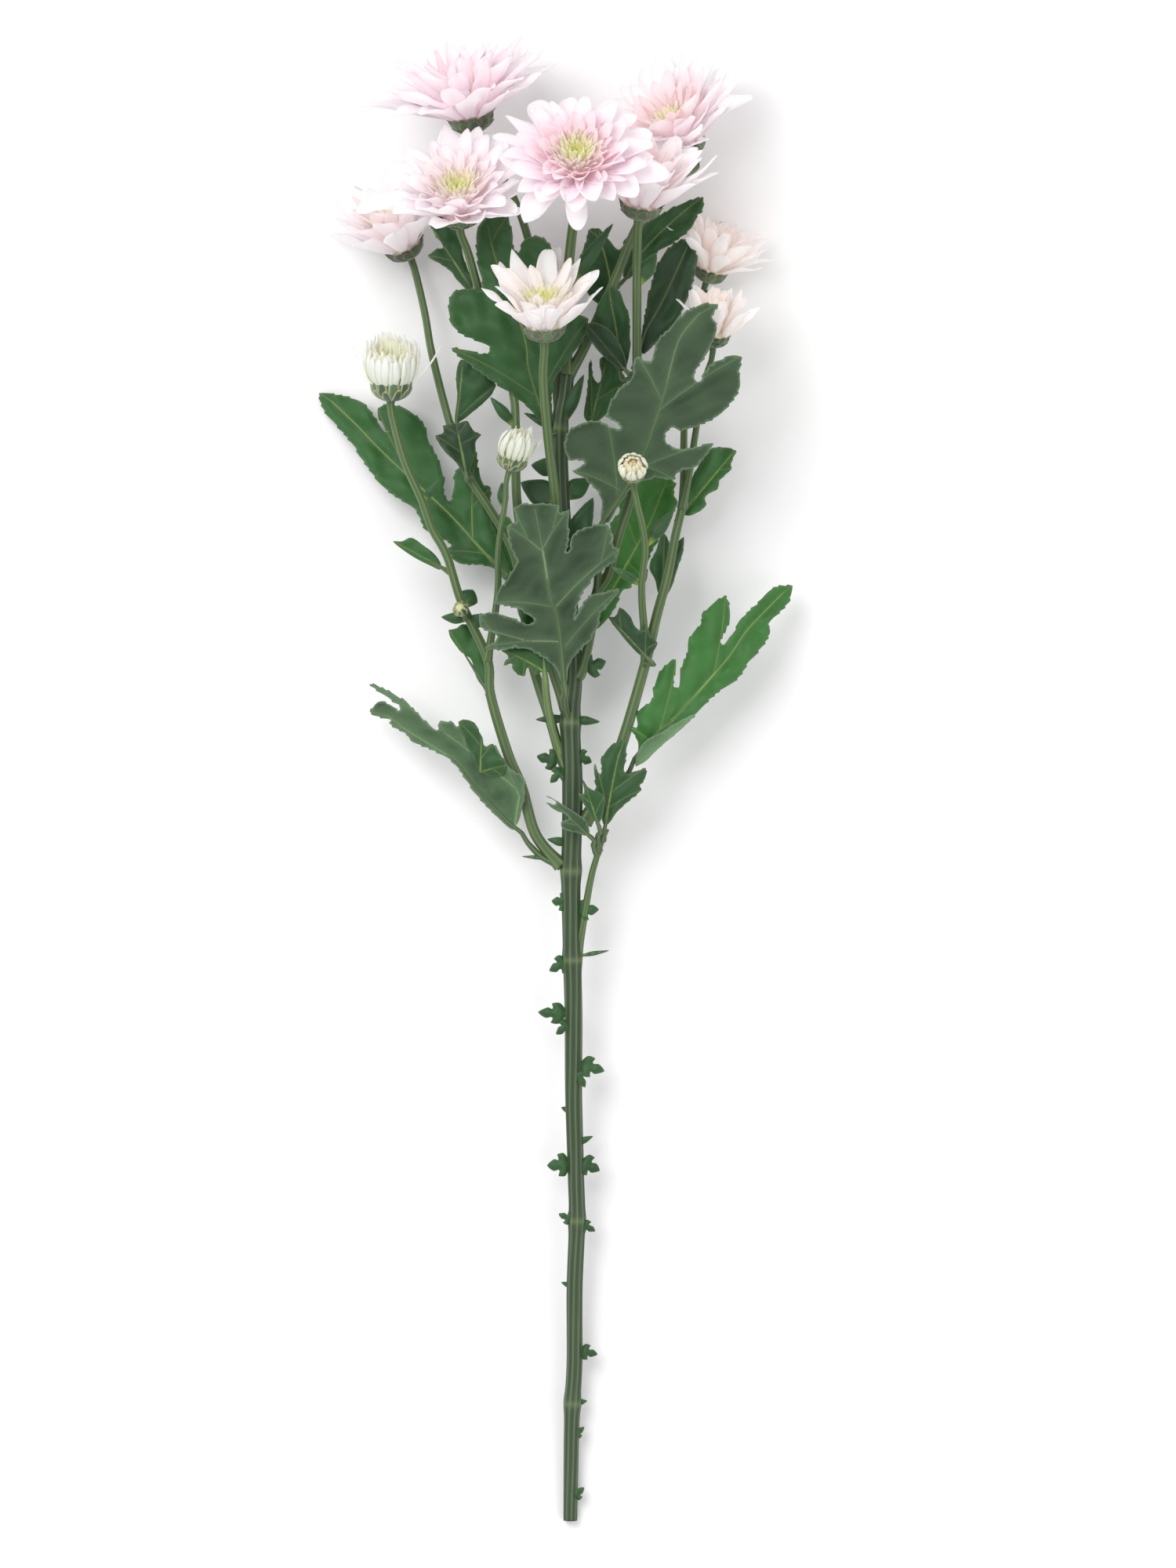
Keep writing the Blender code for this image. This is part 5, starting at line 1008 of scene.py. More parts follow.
# Radius of that rib as shares of the stalk's: at its end, what it gains and how fast, and at the start of the
# blade; then the flare where the stalk is rooted, and how deep the rib lies in the blade
RIB_END = 0.16
RIB_GAIN = 0.62
RIB_CURVE = 1.3
RIB_START = 0.78
STALK_FLARE = (0.7, 3.5)
SINK = 0.35
YELLOW_STALKS = ("leaf_behind_front", "leaf_back_bright", "leaf_left_bright")
STALK_FRESH = 0.35
BRANCH_FRESH = 0.5
YELLOW_FRESH = 0.95


def leaf_stalk(shape, spec, name, paths):
    """A leaf's stalk, which runs on as a tapering rib along the blade."""
    base, along, length = leaf_frame(spec)
    corners = (Vector(spec["outline"][0]), Vector(spec["outline"][-1]))
    behind = max((base - corner).dot(along) for corner in corners)
    points = [Vector(p) for p in spec["stalk"]]
    points[0] = nearest_on_paths(paths, points[0])
    spot = base - along * (behind + LEAF_STALK_RUN)
    points.append(Vector((spot.x, spot.y, float(leaf_height(spec, base.x, base.y)))))
    side = 1 if name in UNDERSIDE_UP else -1
    line = smooth_path([Vector((*p, 0)) for p in midrib(spec)], PATH_STEP)
    radius = STALK_RADIUS if length < LARGE_LEAF else LARGE_STALK_RADIUS
    for k, p in enumerate(line[:max(3, int(len(line) * ON_BLADE))]):
        sink = side * SINK * radius * (1 - k / len(line))
        points.append(Vector((p.x, p.y, float(leaf_height(spec, p.x, p.y)) + sink)))
    path = smooth_path(points, PATH_STEP)
    run = running_length(path)
    left = run[-1] - run
    on_blade = length * ON_BLADE
    taper = np.clip(left / on_blade, 0, 1)
    free = RIB_START + (1 - RIB_START) * np.clip((left - on_blade) / 5, 0, 1)
    radii = radius * np.where(taper < 1, RIB_END + RIB_GAIN * taper ** RIB_CURVE, free)
    radii = radii * (1 + STALK_FLARE[0] * np.exp(-(run / STALK_FLARE[1]) ** 2))
    fresh = YELLOW_FRESH if name in YELLOW_STALKS else STALK_FRESH
    ribbed_tube(shape, path, radii, stem_tint(fresh), **LEAF_STALK_TUBE)


# Leaflets: the colour of the root, the midrib that shapes the mesh, and a distance at which no vein shows
LEAFLET_ROOT = "93A848"
LEAFLET_RIB = (0, 0.2, 0.4, 0.6, 0.8, 0.92)
NO_VEIN = 3.0
# Height of its arch and of its fold, as shares of length and width, points a millimetre apart, and its waves
LEAFLET_ARCH = 0.12
LEAFLET_FOLD = 0.12
LEAFLET_STEPS = (0.7, 0.5)
LEAFLET_WAVE = 0.25


def leaflet(shape, kind, root, tip, width, number):
    """A small leaf or bract on a pale stalk, from its root in the stem to its tip."""
    along = tip - root
    side = along.cross(Vector((0, 0, 1))).normalized()
    normal = side.cross(along).normalized()
    length = along.length
    corners = [(u * length, v * width) for u, v in LEAFLETS[kind]]
    plan = blade(corners, [(length * t, 0) for t in LEAFLET_RIB], *LEAFLET_STEPS)
    u, v = plan["xy"].T
    rng = random.Random(SEED + number)
    height = rng.uniform(0.4, 1.0) * 4 * (u / length) * (1 - u / length) * LEAFLET_ARCH * length
    height = height + LEAFLET_FOLD * np.abs(v) * rng.uniform(0.2, 1.6)
    plan["gap"] = np.full(len(u), NO_VEIN)
    sheets, (upper, under) = leaf_surface("leaflet", plan, height, SEED + number, False, LEAFLET_WAVE)
    upper = upper * rng.uniform(0.8, 1.1)
    start = (1 - step_between(0.08, 0.3, u / length)) * 0.8
    paints = [mixed(color, linear(LEAFLET_ROOT), start) for color in (upper, under)]
    places = [np.array(root) + sheet @ np.array([along.normalized(), side, normal]) for sheet in sheets]
    shape.add(np.vstack(places), sheet_faces(plan["faces"], len(u)), np.vstack(paints))


def stem(materials):
    """Main stem, branches, flower stalks, leaf stalks and small leaves, as one piece."""
    shape = Shape()
    paths = stem_paths()
    for name, (path, radii) in paths.items():
        if name == "main":
            ribbed_tube(shape, path, radii, stem_tint(0), **MAIN_TUBE)
        else:
            ribbed_tube(shape, path, radii, stem_tint(BRANCH_FRESH), **BRANCH_TUBE)
    for name, spec in LEAVES.items():
        leaf_stalk(shape, spec, name, paths)
    for number, (kind, root, tip, width) in enumerate(STUBS + [("narrow", *bract) for bract in BRACTS]):
        leaflet(shape, kind, nearest_on_paths(paths, Vector(root)), Vector(tip), width, number)
    return shape.piece("ribbed_stem", ["stem"], [materials["stem"]])


def inside(points, ring):
    """Whether each point lies within a closed outline."""
    x, y = points[:, :1], points[:, 1:]
    x0, y0 = ring.T
    x1, y1 = np.roll(ring, -1, 0).T
    crosses = (y0 > y) != (y1 > y)
    at = x0 + (y - y0) * (x1 - x0) / np.where(y1 == y0, 1, y1 - y0)
    return (crosses & (x < at)).sum(1) % 2 == 1


def distances(points, starts, ends):
    """Distance from each point to each line from a start to an end."""
    along = ends - starts
    part = ((points[:, None] - starts) * along).sum(2) / np.maximum((along ** 2).sum(1), 1e-9)
    near = starts + along * part.clip(0, 1)[..., None]
    return np.hypot(*np.moveaxis(points[:, None] - near, 2, 0))


# Corners of an outline that turn by more than this, in degrees, stay sharp, and sides bulge by this share
SHARP_ANGLE = 58
SIDE_BULGE = 0.22
# Small teeth between the corners: distance, height and slant
TOOTH_PITCH = 5.2
TOOTH_HEIGHT = 0.75
TOOTH_CURVE = 1.6
# Where they start and how far they take to grow, from the leaf stalk and by the length of the whole outline
TOOTH_START = (4, 14)
TOOTHED_LENGTH = (50, 70)


def smooth_outline(corners, step):
    """A leaf's outline, rounded between its teeth, and the tips of the teeth."""
    corners = np.array(corners, float)
    count = len(corners)
    before = corners - np.roll(corners, 1, 0)
    after = np.roll(before, -1, 0)
    area = (corners[:, 0] * np.roll(corners[:, 1], -1) - np.roll(corners[:, 0], -1) * corners[:, 1]).sum()
    way = math.copysign(1, area)
    turn = np.arctan2(before[:, 0] * after[:, 1] - before[:, 1] * after[:, 0], (before * after).sum(1)) * way
    sharp = turn > math.radians(SHARP_ANGLE)
    sharp[[0, -1]] = True
    flat = unit_rows(np.roll(corners, -1, 0) - np.roll(corners, 1, 0))
    ring = []
    for i in range(count):
        j = (i + 1) % count
        run = corners[j] - corners[i]
        length = np.hypot(*run)
        side = np.array([run[1], -run[0]]) * way * (SIDE_BULGE if i < count - 1 else 0)
        leave = run + side if sharp[i] else flat[i] * length
        arrive = run - side if sharp[j] else flat[j] * length
        parts = max(1, round(length / step))
        for k in range(parts):
            t = k / parts
            ring.append(corners[i] * (2 * t ** 3 - 3 * t ** 2 + 1) + corners[j] * (3 * t ** 2 - 2 * t ** 3)
                        + leave * (t ** 3 - 2 * t ** 2 + t) + arrive * (t ** 3 - t ** 2))
    tips = [corners[i] for i in range(1, count - 1) if sharp[i]]
    return toothed(np.array(ring), way), tips


def toothed(ring, way):
    """The outline with small forward-pointing teeth, which fade out towards the leaf stalk."""
    along = np.roll(ring, -1, 0) - np.roll(ring, 1, 0)
    normal = unit_rows(np.column_stack([along[:, 1], -along[:, 0]]) * way)
    run = running_length(ring)
    total = run[-1]
    from_base = np.minimum(run, total - run)
    phase = from_base / TOOTH_PITCH + 0.35 * np.sin(run * 0.37)
    tooth = (phase % 1) ** TOOTH_CURVE
    height = TOOTH_HEIGHT * np.clip((from_base - TOOTH_START[0]) / TOOTH_START[1], 0, 1)
    height = height * min(1, max(0, total - TOOTHED_LENGTH[0]) / TOOTHED_LENGTH[1])
    return ring + normal * (height * (tooth - 0.3))[:, None]


# Veins: how much a short way back to the leaf stalk counts, the distance between points, the narrowest width
VEIN_THRIFT = 0.72
VEIN_STEP = 1.2
VEIN_WIDTH = 0.3
# Side veins: how many places on other veins each may start from, the part of its way that is looked at, what
# each look outside the leaf costs, the room to the rim and what less of it costs, and how far the vein bows
VEIN_STARTS = 90
VEIN_LOOKS = (0.08, 0.94, 12)
OUTSIDE_COST = 6
RIM_ROOM = 1.2
ROOM_COST = 4
VEIN_BOW = 0.08


def vein_tree(ring, tips, rib):
    """Midrib and side veins to every tooth: points, the point each springs from, and the veins it feeds."""
    spots = [np.array(p, float) for p in rib]
    parent = [-1] + list(range(len(spots) - 1))
    run = [0.0]
    for a, b in zip(spots, spots[1:]):
        run.append(run[-1] + np.hypot(*(b - a)))
    ends = [len(spots) - 1]
    starts, after = ring, np.roll(ring, -1, 0)
    line = np.array(rib, float)
    off = [distances(tip[None], line[:-1], line[1:]).min() for tip in tips]
    for order in np.argsort(off)[::-1]:
        tip = tips[order]
        if off[order] < 1.5 and np.hypot(*(tip - line[-1])) < 3:
            continue
        places = np.array(spots)
        gap = np.hypot(*(places - tip).T)
        cost = gap + VEIN_THRIFT * np.array(run)
        best = None
        for index in np.argsort(cost)[:VEIN_STARTS]:
            way = places[index] + (tip - places[index]) * np.linspace(*VEIN_LOOKS)[:, None]
            out = (~inside(way, ring)).sum() * OUTSIDE_COST
            near = distances(way[2:9], starts, after).min()
            score = cost[index] + out + max(0, RIM_ROOM - near) * ROOM_COST
            if best is None or score < best[0]:
                best = (score, index)
        index = best[1]
        count = max(2, int(gap[index] / VEIN_STEP))
        start = places[index]
        back = start - places[parent[index]] if parent[index] >= 0 else places[index + 1] - start
        bow = start + (tip - start) / 2 + back / max(np.hypot(*back), 1e-9) * gap[index] * VEIN_BOW
        last = index
        for k in range(1, count + 1):
            t = k / count * 0.97
            spots.append(start * (1 - t) ** 2 + 2 * bow * t * (1 - t) + tip * t ** 2)
            parent.append(last)
            run.append(run[last] + gap[index] / count)
            last = len(spots) - 1
        ends.append(last)
    flow = np.zeros(len(spots))
    for end in ends:
        while end >= 0:
            flow[end] += 1
            end = parent[end]
    return np.array(spots), np.array(parent), flow


def triangulated(ring, points):
    """Triangles that fill an outline, over its own points and those given inside it, facing up."""
    places = np.vstack([ring, points])
    result = delaunay_2d_cdt([Vector(p) for p in places], [], [list(range(len(ring)))], 1, 1e-6)
    verts = np.array([tuple(v) for v in result[0]])
    faces = np.array([list(f) for f in result[2] if len(f) == 3])
    a, b, c = (verts[faces[:, k]] for k in range(3))
    area = (b - a)[:, 0] * (c - a)[:, 1] - (b - a)[:, 1] * (c - a)[:, 0]
    faces = np.where((area > 0)[:, None], faces, faces[:, ::-1])
    return verts, faces[np.abs(area) > 1e-7]


def blade(corners, rib, spacing, step):
    """A leaf blade in plan: points, triangles, distance to the rim, and its veins."""
    ring, tips = smooth_outline(corners, step)
    spots, parent, flow = vein_tree(ring, tips, rib)
    joined = parent >= 0
    starts, ends = spots[parent[joined]], spots[joined]
    width = VEIN_WIDTH * np.sqrt(flow[joined])
    low, high = ring.min(0), ring.max(0)
    rows = np.arange(low[1], high[1], spacing * 0.866)
    grid = np.array([(x + spacing / 2 * (k % 2), y) for k, y in enumerate(rows)
                     for x in np.arange(low[0], high[0], spacing)])
    normal = ends - starts
    normal = unit_rows(np.column_stack([-normal[:, 1], normal[:, 0]]))
    veins = np.vstack([ends + normal * width[:, None] * side for side in (-0.9, 0, 0.9)])
    after = np.roll(ring, -1, 0)
    grid = grid[inside(grid, ring)]
    grid = grid[distances(grid, ring, after).min(1) > spacing * 0.5]
    grid = grid[distances(grid, starts, ends).min(1) > spacing * 0.75]
    veins = veins[inside(veins, ring)]
    veins = veins[distances(veins, ring, after).min(1) > 0.25]
    verts, faces = triangulated(ring, np.vstack([grid, veins]))
    rim = distances(verts, ring, after).min(1)
    far = distances(verts, starts, ends)
    nearest = far.argmin(1)
    gap = far[np.arange(len(verts)), nearest]
    return dict(xy=verts, faces=faces, rim=rim, gap=gap, width=width[nearest])


def leaf_frame(spec):
    """Base point, direction and length of a leaf in plan."""
    base = (Vector(spec["outline"][0]) + Vector(spec["outline"][-1])) / 2
    along = Vector(spec["tip"]) - base
    return base, along.normalized(), along.length


def midrib(spec):
    """Corners of a leaf's midrib in plan, straight where none are given."""
    base, along, length = leaf_frame(spec)
    return spec.get("rib") or [tuple(base), tuple(base + along * length / 2), spec["tip"]]


def leaf_height(spec, x, y):
    """Height of a leaf's middle surface above the table at places in plan."""
    base, along, length = leaf_frame(spec)
    off_x, off_y = x - base.x, y - base.y
    t = np.clip((off_x * along.x + off_y * along.y) / length, -0.1, 1.1)
    side = along.x * off_y - along.y * off_x
    start, middle, end = spec["rise"]
    control = 2 * middle - (start + end) / 2
    rib = start * (1 - t) ** 2 + 2 * control * t * (1 - t) + end * t ** 2
    rise = np.sqrt(side ** 2 + RIB_SOFTNESS ** 2) - RIB_SOFTNESS
    return rib + spec["fold"] * rise + spec["tilt"] * side


# Colours of both sides of the leaves, of their veins, of a yellower upper side and of the felted rim
UPPER = "1E4720"
UNDER = "394F35"
VEIN_UPPER = "A4C062"
VEIN_UNDER = "7C9468"
YELLOW_GREEN = "47902A"
FELT = "7C9478"
# Leaves that show their underside, how light and how yellow the others are, and how light some undersides are
UNDERSIDE_UP = ("leaf_front_right", "leaf_front_middle", "leaf_lower_left", "leaf_shoot_left")
LEAF_TONE = {
    "leaf_upper_left": (0.85, 0.25), "leaf_dark_oval": (0.6, 0.0), "leaf_right_long": (0.66, 0.0),
    "leaf_far_left": (1.15, 0.25), "leaf_back_bright": (1.15, 0.8), "leaf_left_bright": (1.35, 0.7),
    "leaf_right_bright": (1.1, 0.45), "leaf_behind_front": (0.85, 0.35), "leaf_lower_right": (1.35, 0.4),
    "leaf_on_left_branch": (0.7, 0.0), "leaf_top_right": (0.85, 0.2), "leaf_behind_mid": (0.9, 0.3),
    "leaf_right_lobed": (0.8, 0.0), "leaf_left_lobed": (1.1, 0.3), "leaf_left_slim": (1.1, 0.3),
}
UNDER_TONE = {"leaf_lower_left": 1.6, "leaf_lower_right": 2.6}
# Relief of a blade: height and width of the bulges between veins, waves, the turned-down rim, and the height
# of veins above the underside and their depth in the upper side, as shares of their width
BULGE_HEIGHT = 0.95
BULGE_WIDTH = 2.6
WAVE_HEIGHT = 0.7
RIM_DROP = 0.5
RIDGE = 0.34
GROOVE = 0.14


def leaf_surface(name, plan, height, seed, underside_up, wave=1.0):
    """Upper and lower sheet of a blade, with veins, bulges between them and a waving rim, and their paint."""
    xy, rim, gap, width = (plan[key] for key in ("xy", "rim", "gap", "width"))
    rng = random.Random(seed)
    vein = np.exp(-(gap / (0.62 * width)) ** 2)
    bulge = 1 - np.exp(-(gap / BULGE_WIDTH) ** 2)
    up = -1 if underside_up else 1
    middle = height + up * BULGE_HEIGHT * bulge * np.minimum(rim / 2, 1)
    for _ in range(4):
        angle = rng.uniform(0, 2 * math.pi)
        pitch = rng.uniform(9, 19)
        phase = (xy[:, 0] * math.cos(angle) + xy[:, 1] * math.sin(angle)) * 2 * math.pi / pitch
        middle = middle + wave * WAVE_HEIGHT * np.sin(phase + rng.uniform(0, 6)) * bulge
    middle = middle - up * RIM_DROP * np.exp(-rim / 0.9)
    thick = 0.22 + 0.1 * np.minimum(rim / 1.5, 1)
    on_top, below = RIDGE * width * vein, -GROOVE * width * vein
    if not underside_up:
        on_top, below = below, on_top
    sheets = [np.column_stack([xy, middle + thick + on_top]), np.column_stack([xy, middle - thick - below])]
    bright, yellow = LEAF_TONE.get(name, (1.0, 0.1))
    x, y = xy.T
    blotch = sum(np.sin(x * rng.uniform(0.1, 0.4) + y * rng.uniform(0.1, 0.4) + rng.uniform(0, 6))
                 for _ in range(3)) / 3
    major = 0.22 + 0.5 * np.clip((width / VEIN_WIDTH - 1) / 1.3, 0, 1)
    # Painted shade along the sunken veins and painted light on the bulges between them, besides random
    # blotches
    upper = linear(UPPER) * bright * ((1 + 0.16 * blotch) * (0.74 + 0.34 * bulge))[:, None]
    upper = mixed(upper, linear(YELLOW_GREEN) * bright, np.full(len(xy), yellow * 0.5))
    upper = mixed(upper, linear(VEIN_UPPER) * min(bright, 1.1), major * vein)
    under = linear(UNDER) * UNDER_TONE.get(name, 1.0)
    # Painted light on the raised veins and painted shade in the hollows between them, besides random blotches
    under = under * ((1 + 0.12 * blotch) * (1.12 - 0.24 * bulge))[:, None]
    under = mixed(under, linear(VEIN_UNDER), (0.15 + major) * vein)
    under = mixed(under, linear(FELT), 0.6 * np.exp(-rim / 0.35))
    upper = mixed(upper, linear(VEIN_UNDER), 0.3 * np.exp(-rim / 0.25))
    paints = [np.clip(color, 0, 1) for color in (upper, under)]
    return sheets, paints[::-1] if underside_up else paints


# Folded lobes of two leaves: whether the underside shows, the lift above the blade, the outline
LOBES = {
    "leaf_lower_left": (False, 1.3, [
        (-40, 327), (-44, 335), (-47.5, 343), (-49.5, 349), (-46, 350), (-42, 348), (-39.5, 342.5),
        (-38, 338.5), (-34.5, 339.5), (-32.5, 335.5), (-28.5, 330), (-30.5, 325.5), (-36.5, 325.5)]),
    "leaf_lower_right": (True, 1.6, [
        (27.5, 329.5), (28, 335), (31.5, 340.5), (39.5, 345), (46, 349), (53.5, 352.5), (47.5, 346),
        (41.5, 341), (36.5, 336.5), (30.5, 331)]),
}
# Distance between the points of a blade, in a large leaf and in the others, and along its outline and midrib
LARGE_BLADE_STEP = 1.15
BLADE_STEP = 0.9
OUTLINE_STEP = 0.7
MIDRIB_STEP = 1.2


def add_blade(shape, name, spec, corners, rib, underside_up, lift):
    """Adds a blade to a leaf: its upper sheet in one material, the lower sheet and the rim in the other."""
    length = leaf_frame(spec)[2]
    rib = [(p.x, p.y) for p in smooth_path([(*p, 0) for p in rib], MIDRIB_STEP)][:-1]
    plan = blade(corners, rib, LARGE_BLADE_STEP if length > LARGE_LEAF else BLADE_STEP, OUTLINE_STEP)
    height = leaf_height(spec, *plan["xy"].T) + lift
    sheets, paints = leaf_surface(name, plan, height, SEED + len(name) + int(length), underside_up)
    upper, lower, rim = sheet_faces(plan["faces"], len(plan["xy"]))
    top, bottom = (1, 0) if underside_up else (0, 1)
    start = len(shape.faces)
    shape.add(np.vstack(sheets), [upper, lower, rim], np.vstack(paints))
    shape.slots[start:] = [top] * len(upper) + [bottom] * (len(lower) + len(rim))


def leaf(name, spec, materials):
    """One leaf with its folded lobes, if it has any."""
    shape = Shape()
    underside_up = name in UNDERSIDE_UP
    add_blade(shape, name, spec, spec["outline"], midrib(spec), underside_up, 0)
    if name in LOBES:
        lobe_under, lift, corners = LOBES[name]
        middle = corners[len(corners) // 2]
        add_blade(shape, name, spec, corners, [corners[0], middle], lobe_under, lift)
    return shape.piece("veined_" + name, [name], [materials["leaf_upper"], materials["leaf_under"]])


def material(name, roughness, **sockets):
    """A Principled material with its node tree and shader; each keyword is the name of a socket."""
    made = bpy.data.materials.new(name)
    made.use_nodes = True
    shader = made.node_tree.nodes["Principled BSDF"]
    shader.inputs["Roughness"].default_value = roughness
    for key, value in sockets.items():
        shader.inputs[key.replace("_", " ")].default_value = value
    return made, made.node_tree, shader


def node(tree, kind, **settings):
    """A shader node; each keyword is the name of a socket or of a setting."""
    made = tree.nodes.new("ShaderNode" + kind)
    for key, value in settings.items():
        if key in made.inputs:
            made.inputs[key].default_value = value
        else:
            setattr(made, key, value)
    return made


def varied(tree, shader, color, vary, low, high):
    """Links a colour, lightened and darkened between low and high by a texture, to the shader."""
    span = node(tree, "MapRange")
    span.inputs["To Min"].default_value = low
    span.inputs["To Max"].default_value = high
    scale = node(tree, "VectorMath", operation="SCALE")
    tree.links.new(vary, span.inputs["Value"])
    tree.links.new(color, scale.inputs[0])
    tree.links.new(span.outputs["Result"], scale.inputs["Scale"])
    tree.links.new(scale.outputs["Vector"], shader.inputs["Base Color"])


def tinted(tree, shader, vary, low, high):
    """Links the tint that each point carries, varied by a texture."""
    varied(tree, shader, node(tree, "Attribute", attribute_name="tint").outputs["Color"], vary, low, high)


def add_painted_glow(tree, shader, strength):
    """Painted light: a faint glow of the tint's own colour, which lifts the shade in thin petals."""
    tint = node(tree, "Attribute", attribute_name="tint")
    tree.links.new(tint.outputs["Color"], shader.inputs["Emission Color"])
    shader.inputs["Emission Strength"].default_value = strength


def bumped(tree, shader, height, strength, distance):
    """Relief of a texture, its depth in metres."""
    bump = node(tree, "Bump", Strength=strength, Distance=distance)
    tree.links.new(height, bump.inputs["Height"])
    tree.links.new(bump.outputs["Normal"], shader.inputs["Normal"])


def streaks(tree, across, along):
    """Noise stretched along the flow that each point carries."""
    flow = node(tree, "Attribute", attribute_name="flow")
    stretch = node(tree, "VectorMath", operation="MULTIPLY")
    stretch.inputs[1].default_value = (across, along, 1.0)
    noise = node(tree, "TexNoise", Scale=1.0, Detail=4.0, Roughness=0.6)
    tree.links.new(flow.outputs["Vector"], stretch.inputs[0])
    tree.links.new(stretch.outputs["Vector"], noise.inputs["Vector"])
    return noise


def speckle(tree, scale):
    """Noise in the part's own space, its scale in marks a metre."""
    place = node(tree, "TexCoord")
    noise = node(tree, "TexNoise", Scale=scale, Detail=4.0, Roughness=0.6)
    tree.links.new(place.outputs["Object"], noise.inputs["Vector"])
    return noise


# Petals, florets, bracts and stems: roughness, further sockets, a texture and its scales, how far it lightens
# and darkens the tint, the strength and depth of its relief, and the painted glow that lifts their shade
PLAIN_LOOKS = {
    "petal": (0.5, dict(Subsurface_Weight=0.85, Subsurface_Scale=0.002, Subsurface_Radius=(1.0, 0.8, 0.82),
                        Sheen_Weight=0.1, Sheen_Roughness=0.4),
              (streaks, 26, 1.2), (0.94, 1.04), (0.8, 0.0003), 0.1),
    "floret": (0.5, dict(Subsurface_Weight=0.7, Subsurface_Scale=0.002),
               (speckle, 900), (0.9, 1.1), (0.3, 0.0003), 0.12),
    "bract": (0.55, dict(Sheen_Weight=0.25, Sheen_Roughness=0.5),
              (streaks, 16, 1.5), (0.75, 1.2), (0.4, 0.0002), 0),
    "stem": (0.55, dict(Sheen_Weight=0.15, Sheen_Roughness=0.35),
             (streaks, 9, 0.6), (0.78, 1.2), (0.4, 0.0003), 0),
}
# Both sides of the leaves: roughness, sheen, scale of the grain and strength of the net of small veins
LEAF_LOOKS = {"leaf_upper": (0.62, 0.08, 500, 0.12), "leaf_under": (0.8, 0.05, 1400, 0.22)}
# The net: its scale in meshes a metre, how far it is warped and at what scale, the share of a mesh that is
# vein, and how much darker the veins are
NET_SCALE = 520.0
NET_WARP = 0.0012
NET_WARP_SCALE = 240
NET_EDGE = 0.12
NET_SHADE = -0.22
LEAF_VARY = (0.98, 1.35)
LEAF_RELIEF = 0.0002


def plain_material(name, roughness, sockets, texture, vary, relief, painted_glow):
    made, tree, shader = material(name, roughness, **sockets)
    kind, *scales = texture
    grain = kind(tree, *scales).outputs["Fac"]
    tinted(tree, shader, grain, *vary)
    bumped(tree, shader, grain, *relief)
    # Painted light: petals and florets glow faintly in their own colour to lift their shade
    if painted_glow:
        add_painted_glow(tree, shader, painted_glow)
    return made


def leaf_material(name, roughness, sheen, grain_scale, net_strength):
    """A leaf's skin: fine grain, and a warped net of small veins as colour and relief."""
    made, tree, shader = material(name, roughness, Sheen_Weight=sheen, Sheen_Roughness=0.4,
                                  Subsurface_Weight=0.06, Subsurface_Scale=0.001)
    place = node(tree, "TexCoord")
    warp = speckle(tree, NET_WARP_SCALE)
    shift = node(tree, "VectorMath", operation="SCALE", Scale=NET_WARP)
    joined = node(tree, "VectorMath", operation="ADD")
    net = node(tree, "TexVoronoi", feature="DISTANCE_TO_EDGE", Scale=NET_SCALE)
    cells = node(tree, "MapRange")
    cells.inputs["From Max"].default_value = NET_EDGE
    grain = speckle(tree, grain_scale)
    blend = node(tree, "Math", operation="MULTIPLY_ADD")
    blend.inputs[1].default_value = 0.5
    fade = node(tree, "Math", operation="MULTIPLY")
    fade.inputs[1].default_value = NET_SHADE
    for source, target in (
            (warp.outputs["Color"], shift.inputs[0]), (place.outputs["Object"], joined.inputs[0]),
            (shift.outputs["Vector"], joined.inputs[1]), (joined.outputs["Vector"], net.inputs["Vector"]),
            (net.outputs["Distance"], cells.inputs["Value"]), (grain.outputs["Fac"], blend.inputs[0]),
            (cells.outputs["Result"], fade.inputs[0]), (fade.outputs["Value"], blend.inputs[2])):
        tree.links.new(source, target)
    tinted(tree, shader, blend.outputs["Value"], *LEAF_VARY)
    bumped(tree, shader, cells.outputs["Result"], net_strength, LEAF_RELIEF)
    return made


def make_materials():
    materials = {name: plain_material(name, *look) for name, look in PLAIN_LOOKS.items()}
    materials.update({name: leaf_material(name, *look) for name, look in LEAF_LOOKS.items()})
    return materials


# Metres from here on
FLOOR_REACH = 4.0
FLOOR_COLOR = (0.94, 0.94, 0.94)
FLOOR_ROUGHNESS = 0.8
FLOOR_GRAIN = 6
FLOOR_VARY = (0.98, 1.0)
WORLD_LIGHT = 0.74
# Square lamps that point at the part's origin: place, side and power
LIGHTS = {"key": ((-1.1, 1.1, 2.5), 1.7, 46.0), "fill": ((1.5, -0.6, 2.2), 1.6, 12.0)}


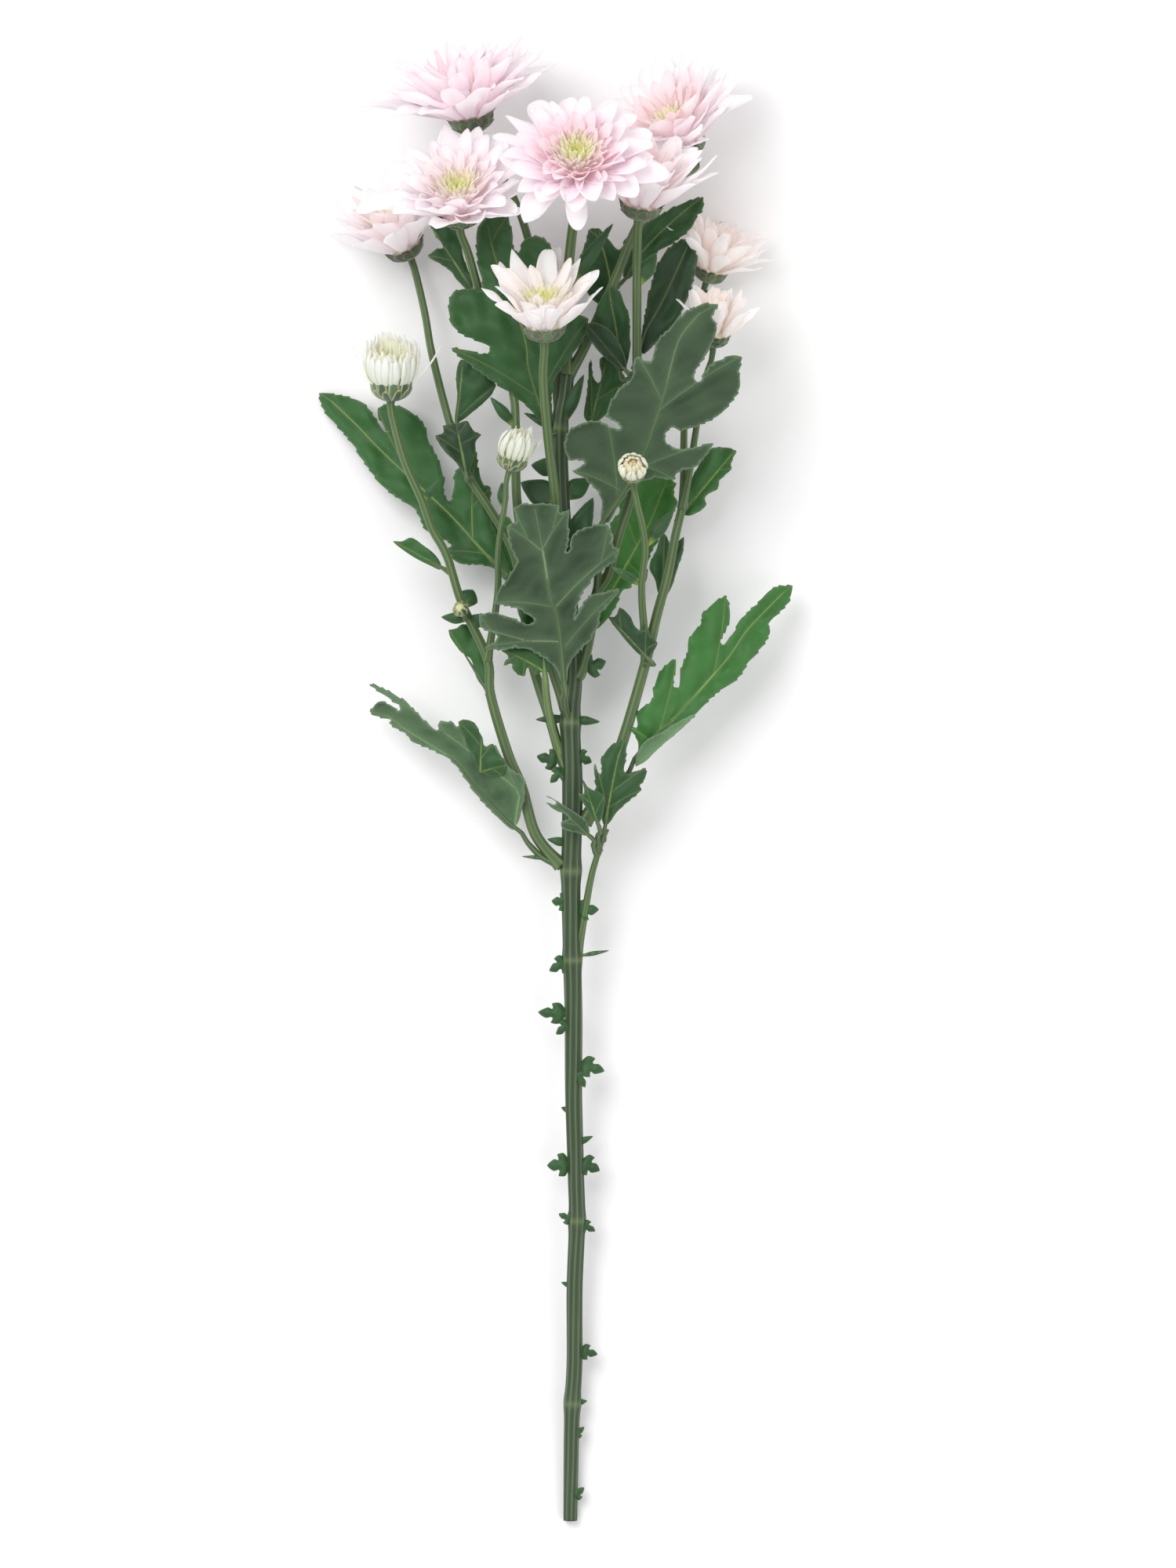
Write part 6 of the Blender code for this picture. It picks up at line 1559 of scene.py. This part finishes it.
def stage():
    """Pale floor, soft studio light and two lamps."""
    mesh = bpy.data.meshes.new("floor")
    corners = [(-1, -1), (1, -1), (1, 1), (-1, 1)]
    mesh.from_pydata([(x * FLOOR_REACH, y * FLOOR_REACH, 0) for x, y in corners], [], [(0, 1, 2, 3)])
    floor = placed("floor", mesh)
    made, tree, shader = material("floor", FLOOR_ROUGHNESS)
    color = node(tree, "CombineXYZ")
    for socket, part in zip(color.inputs, FLOOR_COLOR):
        socket.default_value = part
    varied(tree, shader, color.outputs["Vector"], speckle(tree, FLOOR_GRAIN).outputs["Fac"], *FLOOR_VARY)
    floor.data.materials.append(made)
    world = bpy.data.worlds.new("studio")
    world.use_nodes = True
    world.node_tree.nodes["Background"].inputs["Color"].default_value = (1.0, 1.0, 1.0, 1.0)
    world.node_tree.nodes["Background"].inputs["Strength"].default_value = WORLD_LIGHT
    bpy.context.scene.world = world
    for name, (place, size, power) in LIGHTS.items():
        lamp = bpy.data.lights.new(name, "AREA")
        lamp.size = size
        lamp.energy = power
        obj = placed(name, lamp)
        obj.location = place
        obj.rotation_euler = (-Vector(place)).to_track_quat("-Z", "Y").to_euler()


# The photograph is 2000 pixels high at 0.34 mm a pixel, and its middle is this far from the part's origin
FRAME_HEIGHT = 0.68
FRAME_MIDDLE = (0.0143, -0.0005)
CAMERA_HEIGHT = 5.0
FLOWER_LEVEL = 0.045
SENSOR = 36.0


def camera():
    """A camera straight above, which frames the part as the photograph does."""
    made = bpy.data.cameras.new("camera")
    made.sensor_width = SENSOR
    made.lens = SENSOR * CAMERA_HEIGHT / FRAME_HEIGHT
    made.clip_end = 20.0
    obj = placed("camera", made)
    obj.location = (*FRAME_MIDDLE, FLOWER_LEVEL + CAMERA_HEIGHT)
    bpy.context.scene.camera = obj


def build():
    camera()
    stage()
    bpy.context.scene.view_settings.view_transform = "Standard"
    materials = make_materials()
    stem(materials)
    for name, spec in LEAVES.items():
        leaf(name, spec, materials)
    for letter, spec in BLOOMS.items():
        flower(letter, spec, materials)
        calyx(letter, spec, materials)
        if letter in WITH_AN_EYE:
            eye(letter, spec, materials)
    tiny_bud(materials)


build()
